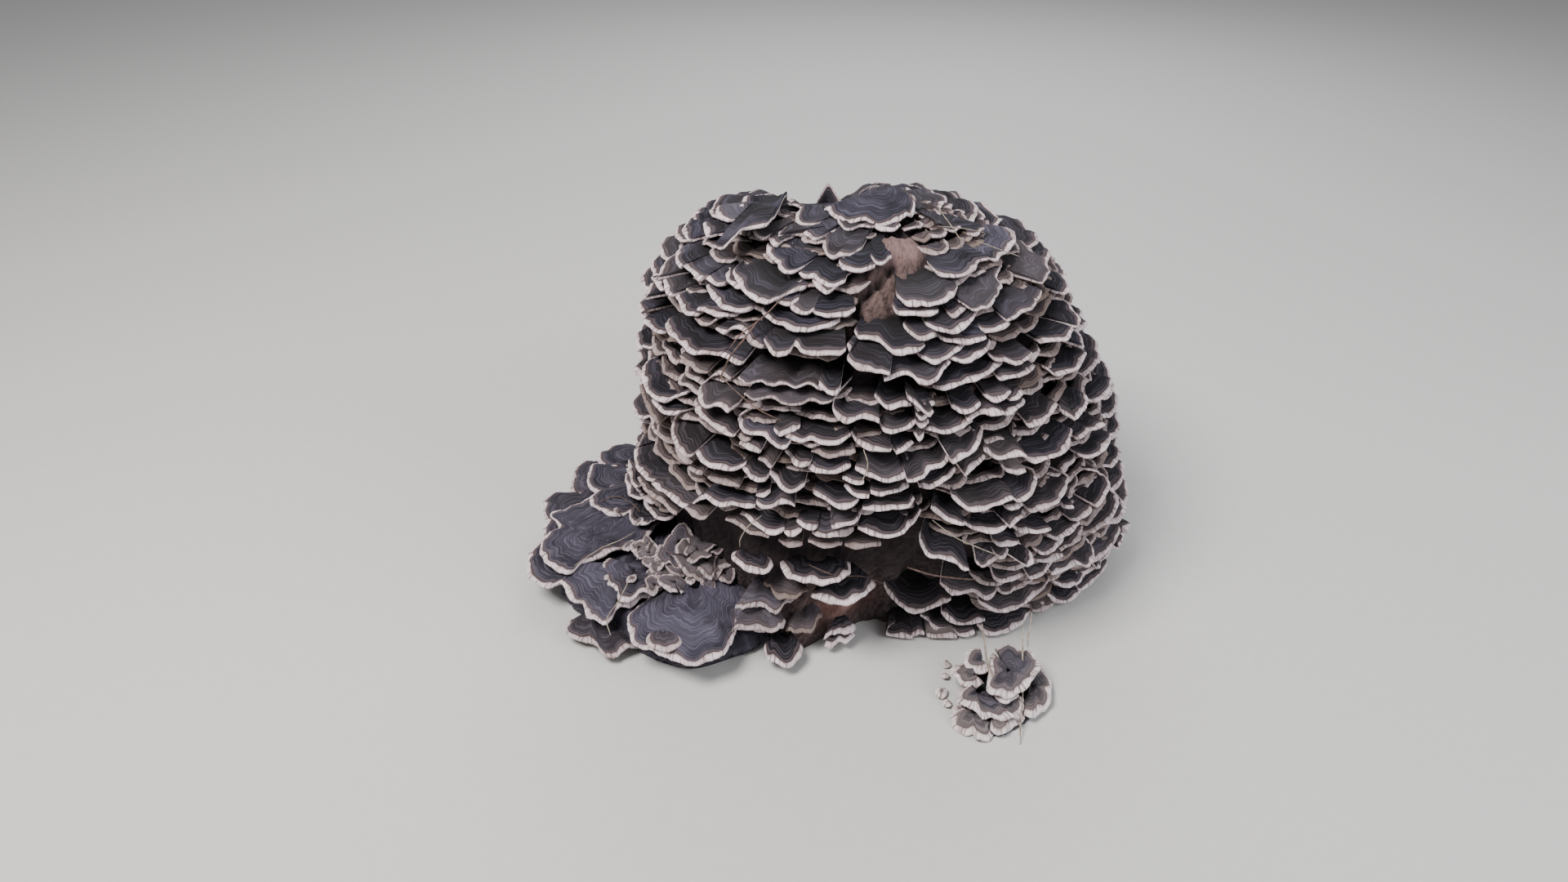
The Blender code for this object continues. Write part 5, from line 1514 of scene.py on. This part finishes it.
CAMERA_PLACE = (-0.07, -0.85, 0.70)
CAMERA_PITCH = 35.0
CAMERA_LENS = 24.45
CAMERA_SENSOR = 36.0
PHOTO_WIDE = 1920.0
PHOTO_HIGH = 1080.0
FLOOR_HALF = 6.0
WORLD_COLOUR = (0.80, 0.83, 0.88, 1.0)
WORLD_STRENGTH = 0.30
LAMP_AIM = (0.0, 0.0, 0.15)
LAMPS = (
    # name, place, size, watts, colour
    ("key", (-0.9, -0.7, 1.9), 0.8, 60.0, (1.0, 0.97, 0.945)),
    ("fill", (1.5, -0.9, 1.1), 1.4, 24.0, (0.93, 0.96, 1.0)),
    ("back", (0.3, 1.6, 1.5), 1.4, 20.0, (0.95, 0.97, 1.0)),
)


# ---------------------------------------------------------------- pieces

def strip_at(level):
    """Bearing, half width and depth of the bare strip of wood at a level."""
    levels, bearings, halves, depths = zip(*STRIP)
    half = np.interp(level, levels, halves, 0, 0)
    return np.interp(level, levels, bearings), half, np.interp(level, levels, depths)


def stump_shape(shape):
    """The wood under the caps, bare in front by the ground and in the strip up to the crown."""
    bearings = np.arange(-180.0, 180.0, WOOD_STEP)
    levels = np.concatenate([np.arange(0.0, LEVEL_TOP - 12.0, 3.0), [LEVEL_TOP - 8.0, LEVEL_TOP - 3.0]])
    jitter = np.random.default_rng(3)
    bearing, level = np.meshgrid(bearings, levels)
    radius, height = outline(bearing, level)
    tr, tz = slope(bearing, level)
    grooves = (2.2 * np.sin(np.radians(bearing) * 23 + 1.5 * np.sin(level / 31.0))
               + 1.3 * np.sin(np.radians(bearing) * 57 + 2.0 * np.sin(level / 19.0 + 1.0)))
    front = np.clip(1.0 - (np.abs(bearing - BARE_MIDDLE) / BARE_HALF) ** 4, 0.0, 1.0)
    front = front * smooth(BARE_ENDS, BARE_WHOLE, height)
    middle, half, strip_depth = strip_at(level)
    off = (bearing - middle) / np.maximum(half, 0.1)
    strip = smooth(1.25, 0.75, np.abs(off)) * (half > 0.5)
    pink = strip * smooth(404.0, 414.0, level) * smooth(1.0, 0.5, np.abs(off - 0.1))
    from_rot = ((bearing - ROT_BEARING) / ROT_HALF) ** 2 + ((height - ROT_HEIGHT) / ROT_HALF_HEIGHT) ** 2
    red = np.minimum(1.0, 1.5 * np.exp(-from_rot))
    depth = WOOD_DEPTH_WALL + (WOOD_DEPTH_TOP - WOOD_DEPTH_WALL) * smooth(300.0, 392.0, level)
    depth = depth * (1 - front) + BARE_DEPTH * front + grooves
    cleft = np.exp(-(((off + 0.3 + 0.25 * np.sin(level / 14.0)) / 0.26) ** 2)) * smooth(425.0, 405.0, level)
    plate = smooth(396.0, 410.0, level)
    ridges = grooves * 0.7 + 2.0 * np.sin(bearing * 1.1 + level / 9.0)
    step = 2.5 * plate * smooth(0.15, 0.4, off + 0.2 * np.sin(level / 6.0))
    ridged = strip_depth + (2.5 - 2.0 * plate) * off ** 2 + ridges * (1.0 - 0.7 * plate) + 9.0 * cleft + step
    depth = depth * (1 - strip) + ridged * strip
    flare = np.exp(-(((bearing - ROOT_BEARING) / ROOT_HALF) ** 2)) * smooth(80.0, 12.0, height)
    depth = depth - ROOT_OUT * flare - 3.0 * flare * np.sin(bearing * 0.9 + height / 7.0)
    radius = np.maximum(radius - depth * tz, 0.4)
    height = np.maximum(height + depth * tr, 0.0)
    height[0] = 0.0
    radius = radius + jitter.uniform(-0.5, 0.5, radius.shape)
    points = polar(bearing, radius, height).reshape(-1, 3)
    top = [0.0, 0.0, FORM_ROWS[-1][0] - WOOD_DEPTH_TOP]
    points = np.concatenate([points, [top, [0.0, 0.0, 0.0]]])
    zone = np.stack([np.radians(bearing) * WOOD_ROUND, level, 0.0 * level], axis=-1).reshape(-1, 3)
    # the cleft down the strip keeps little of the bare colour: painted shade in the crease
    tone = np.stack([np.maximum(strip * (1 - 0.8 * cleft), 0.25 * front), pink, red], axis=-1).reshape(-1, 3)
    ends = np.zeros((2, 3))
    faces = turned_faces(len(levels), len(bearings))
    shape.add(points, faces, np.concatenate([zone, ends]), np.concatenate([tone, ends]))


def crown_specials(shape, chance):
    """The torn flap over its hollow, the disc at the apex, the upturned point and a small knob."""
    seen_cap(shape, chance, FLAP_RIM, reach=13.0, tone=(0.8, 0.0, 0.1), nicks=1.5, narrow=1.3, thick=1.8)
    disc = [on_outline(*place) for place in DISC_RIM]
    free_cap(shape, chance, DISC_MIDDLE, disc, core=0.06, tone=(0.55, 0.0, 0.0), wave=1.2, nicks=1.6,
             roll=1.6)
    free_cap(shape, chance, POINT_ROOT, POINT_RIM, core=0.4, up=(0, -0.8, 0.6), tone=(0.5, 0.0, 0.2),
             wave=0.3, nicks=0.3, thick=2.0)
    x, y, z = on_outline(*KNOB)
    lump(shape, chance, x, y, z, KNOB_SIZE)


# ---------------------------------------------------------------- operators

# Pieces in front: name, node, seed, rims, then the stretches of hidden old caps: first and last bearing, low
# and high level, how far out.
DEEP_OUT = (-15.0, -10.0)
FRONT_PIECES = (
    ("belly_caps", "belly_brackets", 42, BELLY_RIMS, ((-84.0, 6.0, 150.0, 276.0, DEEP_OUT),)),
    ("flank_caps", "flank_brackets", 43, FLANK_RIMS, (
        (12.0, 90.0, 128.0, 276.0, DEEP_OUT), (30.0, 70.0, 12.0, 128.0, (-9.0, -5.0)))),
    ("foot_caps", "foot_brackets", 44, FOOT_RIMS, ()),
)
# hidden old caps of the crown, the levels of the tiers behind it, and the widths of the caps in them
CROWN_OUT = (-12.5, -9.5)
CROWN_STEP = 16.0
CROWN_TIERS = (304, 324, 345, 367, 392, 418, 446)
CROWN_WIDTHS = (20, 34)
BACK_STEP = 21
BACK_WIDTHS = (13, 26)
# how much coarser the points of the caps behind are
CROWN_BACK_COARSE = 1.3
BACK_COARSE = 1.7


def settings(context):
    """Sizes and colours that the user set."""
    return context.scene.colony_sizes, context.scene.colony_colours


def finish_piece(made, node_name):
    """Ties a piece to the frame."""
    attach(made, "root")
    if node_name:
        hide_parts(node_name)


def finish_caps(shape, name, colours, finish, node_name):
    """Makes a piece of caps in one of their finishes."""
    finish_piece(shape.make(name, cap_paint(finish, colours)), node_name)


class FUNGUS_OT_stage(bpy.types.Operator):
    """Pale floor, soft light and the camera"""
    bl_idname = "fungus.stage"
    bl_label = "Stage"

    def execute(self, context):
        mesh = bpy.data.meshes.new("floor")
        s = FLOOR_HALF
        mesh.from_pydata([(-s, -s, 0), (s, -s, 0), (s, s, 0), (-s, s, 0)], [], [(0, 1, 2, 3)])
        floor = bpy.data.objects.new("floor", mesh)
        context.scene.collection.objects.link(floor)
        mesh.materials.append(floor_paint())
        world = bpy.data.worlds.new("studio")
        context.scene.world = world
        world.use_nodes = True
        background = world.node_tree.nodes["Background"]
        background.inputs[0].default_value = WORLD_COLOUR
        background.inputs[1].default_value = WORLD_STRENGTH
        for name, place, size, watts, colour in LAMPS:
            data = bpy.data.lights.new(name, "AREA")
            data.size = size
            data.energy = watts
            data.color = colour
            lamp = bpy.data.objects.new(name, data)
            lamp.location = place
            aim = np.array(LAMP_AIM) - np.array(place)
            tilt = math.acos(-aim[2] / np.linalg.norm(aim))
            lamp.rotation_euler = (tilt, 0.0, math.atan2(aim[1], aim[0]) - math.pi / 2)
            context.scene.collection.objects.link(lamp)
        data = bpy.data.cameras.new("camera")
        data.lens = CAMERA_LENS
        data.sensor_width = CAMERA_SENSOR
        data.clip_start = 0.01
        camera = bpy.data.objects.new("camera", data)
        camera.location = CAMERA_PLACE
        camera.rotation_euler = (math.radians(90.0 - CAMERA_PITCH), 0.0, 0.0)
        context.scene.collection.objects.link(camera)
        context.scene.camera = camera
        return {"FINISHED"}


class FUNGUS_OT_stump(bpy.types.Operator):
    """The rotten stump under the caps"""
    bl_idname = "fungus.stump"
    bl_label = "Stump"

    def execute(self, context):
        sizes, colours = settings(context)
        shape = Shape(sizes)
        stump_shape(shape)
        finish_piece(shape.make("stump_wood", wood_paint(colours)), "stump")
        return {"FINISHED"}


class FUNGUS_OT_crown(bpy.types.Operator):
    """The shingled caps of the crown"""
    bl_idname = "fungus.crown"
    bl_label = "Crown caps"

    def execute(self, context):
        sizes, colours = settings(context)
        chance = random.Random(41)
        shape = Shape(sizes)
        seen_caps(shape, CROWN_RIMS, chance)
        crown_specials(shape, chance)
        finish_caps(shape, "crown_caps", colours, "shaded crown caps", "crown_brackets")
        shape = Shape(sizes, CROWN_BACK_COARSE)
        recessed_caps(shape, -88.0, -14.0, 300.0, 440.0, chance, CROWN_OUT, CROWN_STEP)
        recessed_caps(shape, 24.0, 90.0, 300.0, 430.0, chance, CROWN_OUT, CROWN_STEP)
        tier_caps(shape, 80.0, 276.0, CROWN_TIERS, CROWN_WIDTHS, chance)
        finish_caps(shape, "crown_caps_back", colours, "shaded crown caps", "crown_brackets")
        return {"FINISHED"}


class FUNGUS_OT_front(bpy.types.Operator):
    """The tiers in front: the belly left of the seam, the flank right of it and the foot by the ground"""
    bl_idname = "fungus.front"
    bl_label = "Front caps"

    def execute(self, context):
        sizes, colours = settings(context)
        for name, node_name, seed, rims, stretches in FRONT_PIECES:
            chance = random.Random(seed)
            shape = Shape(sizes)
            seen_caps(shape, rims, chance)
            for first, last, low, high, out in stretches:
                recessed_caps(shape, first, last, low, high, chance, out)
            finish_caps(shape, name, colours, "slate caps", node_name)
        return {"FINISHED"}


class FUNGUS_OT_back(bpy.types.Operator):
    """The tiers behind"""
    bl_idname = "fungus.back"
    bl_label = "Back caps"

    def execute(self, context):
        sizes, colours = settings(context)
        chance = random.Random(45)
        shape = Shape(sizes, BACK_COARSE)
        tier_caps(shape, 78.0, 277.0, range(118, 296, BACK_STEP), BACK_WIDTHS, chance)
        tier_caps(shape, 64.0, 244.0, range(9, 112, BACK_STEP), BACK_WIDTHS, chance)
        finish_caps(shape, "back_caps", colours, "slate caps", "back_brackets")
        return {"FINISHED"}


class FUNGUS_OT_spread(bpy.types.Operator):
    """The broad caps spread over the ground on the left, with the heap of old ones"""
    bl_idname = "fungus.spread"
    bl_label = "Spread caps"

    def execute(self, context):
        sizes, colours = settings(context)
        chance = random.Random(46)
        shape = Shape(sizes)
        mound(shape, chance, SPREAD_MOUND, SPREAD_MOUND_HIGH)
        low = Shape(sizes)
        level_caps = [(left, right, level, 0.0, kind) for left, right, level, kind in SIDE_CAPS]
        cap_table(low, level_caps, chance)
        ground_caps(shape, chance, SPREAD_CAPS, SPREAD_READ_AT)
        heap = Shape(sizes)
        for x, y, z, size, tone in DEBRIS:
            x, y, z = seen_at([(x, y)], SPREAD_READ_AT, z)[0]
            blue, pale, tan = tone
            flake(heap, chance, x, y, z, size, (blue + HEAP_BLUE, HEAP_PALE * pale, HEAP_TAN * tan))
        finish_caps(shape, "spread_caps", colours, "lavender caps", "spread_brackets")
        finish_caps(heap, "spread_heap", colours, "old caps", None)
        finish_caps(low, "side_caps", colours, "slate caps", None)
        return {"FINISHED"}


class FUNGUS_OT_rosette(bpy.types.Operator):
    """The pale rosette on the ground in front"""
    bl_idname = "fungus.rosette"
    bl_label = "Rosette"

    def execute(self, context):
        sizes, colours = settings(context)
        chance = random.Random(47)
        shape = Shape(sizes)
        mound(shape, chance, ROSETTE_MOUND, ROSETTE_MOUND_HIGH)
        ground_caps(shape, chance, ROSETTE_CAPS, ROSETTE_READ_AT)
        for x, y, size in ROSETTE_LUMPS:
            x, y, z = seen_at([(x, y)], ROSETTE_READ_AT, LUMP_HEIGHT)[0]
            lump(shape, chance, x + LUMP_RIGHT, y, z, size * LUMP_SHARE)
        finish_caps(shape, "rosette_caps", colours, "pale caps", "front_rosette")
        return {"FINISHED"}


class FUNGUS_OT_lone(bpy.types.Operator):
    """The caps that stand alone on the bare wood"""
    bl_idname = "fungus.lone"
    bl_label = "Lone caps"

    def execute(self, context):
        sizes, colours = settings(context)
        for k, (name, node_name, caps) in enumerate(LONE_CAPS):
            chance = random.Random(48 + k)
            shape = Shape(sizes)
            for numbers in caps:
                wood_cap(shape, chance, numbers, root_thick=9.0, core=0.3, wave=0.7, nicks=0.5, thick=3.2,
                         roll=1.8)
            finish_caps(shape, name, colours, "slate caps", node_name)
        chance = random.Random(54)
        shape = Shape(sizes)
        for dull, *numbers in MANTLE_CAPS:
            wood_cap(shape, chance, numbers, root_thick=8.0, tone=(0.35, 0.1, dull), wave=1.6, nicks=1.4,
                     thick=3.0, roll=1.0)
        finish_caps(shape, "mantle_caps", colours, "old caps", None)
        return {"FINISHED"}


class FUNGUS_OT_litter(bpy.types.Operator):
    """Dry needles and stems caught on the caps"""
    bl_idname = "fungus.litter"
    bl_label = "Litter"

    def execute(self, context):
        sizes, _ = settings(context)
        for kind in LITTER_COLOURS:
            shape = Shape(sizes)
            for found, radius, path in LITTER:
                if found == kind:
                    tube(shape, np.array([on_outline(*place) for place in path]), radius)
            for found, radius, path in GROUND_LITTER:
                if found == kind:
                    tube(shape, np.array(path, float), radius)
            finish_piece(shape.make("litter_" + kind, strand_paint(kind)), None)
        return {"FINISHED"}


OPERATORS = (
    FUNGUS_OT_stage, FUNGUS_OT_stump, FUNGUS_OT_crown, FUNGUS_OT_front, FUNGUS_OT_back, FUNGUS_OT_spread,
    FUNGUS_OT_rosette, FUNGUS_OT_lone, FUNGUS_OT_litter,
)


class FUNGUS_PT_panel(bpy.types.Panel):
    """Sizes, colours and pieces of the colony"""
    bl_idname = "FUNGUS_PT_panel"
    bl_label = "Turkey tail fungus"
    bl_space_type = "VIEW_3D"
    bl_region_type = "UI"
    bl_category = "Fungus"

    def draw(self, context):
        for group in settings(context):
            box = self.layout.box()
            for name in group.bl_rna.properties.keys():
                if name not in ("rna_type", "name"):
                    box.prop(group, name)
        for operator in OPERATORS:
            self.layout.operator(operator.bl_idname)


CLASSES = (ColonySizes, ColonyColours) + OPERATORS + (FUNGUS_PT_panel,)


def register():
    for found in CLASSES:
        bpy.utils.register_class(found)
    bpy.types.Scene.colony_sizes = bpy.props.PointerProperty(type=ColonySizes)
    bpy.types.Scene.colony_colours = bpy.props.PointerProperty(type=ColonyColours)


def unregister():
    del bpy.types.Scene.colony_sizes
    del bpy.types.Scene.colony_colours
    for found in reversed(CLASSES):
        bpy.utils.unregister_class(found)


def main():
    register()
    bpy.ops.fungus.stage()
    bpy.ops.fungus.stump()
    bpy.ops.fungus.crown()
    bpy.ops.fungus.front()
    bpy.ops.fungus.back()
    bpy.ops.fungus.spread()
    bpy.ops.fungus.rosette()
    bpy.ops.fungus.lone()
    bpy.ops.fungus.litter()


if __name__ == "__main__":
    main()
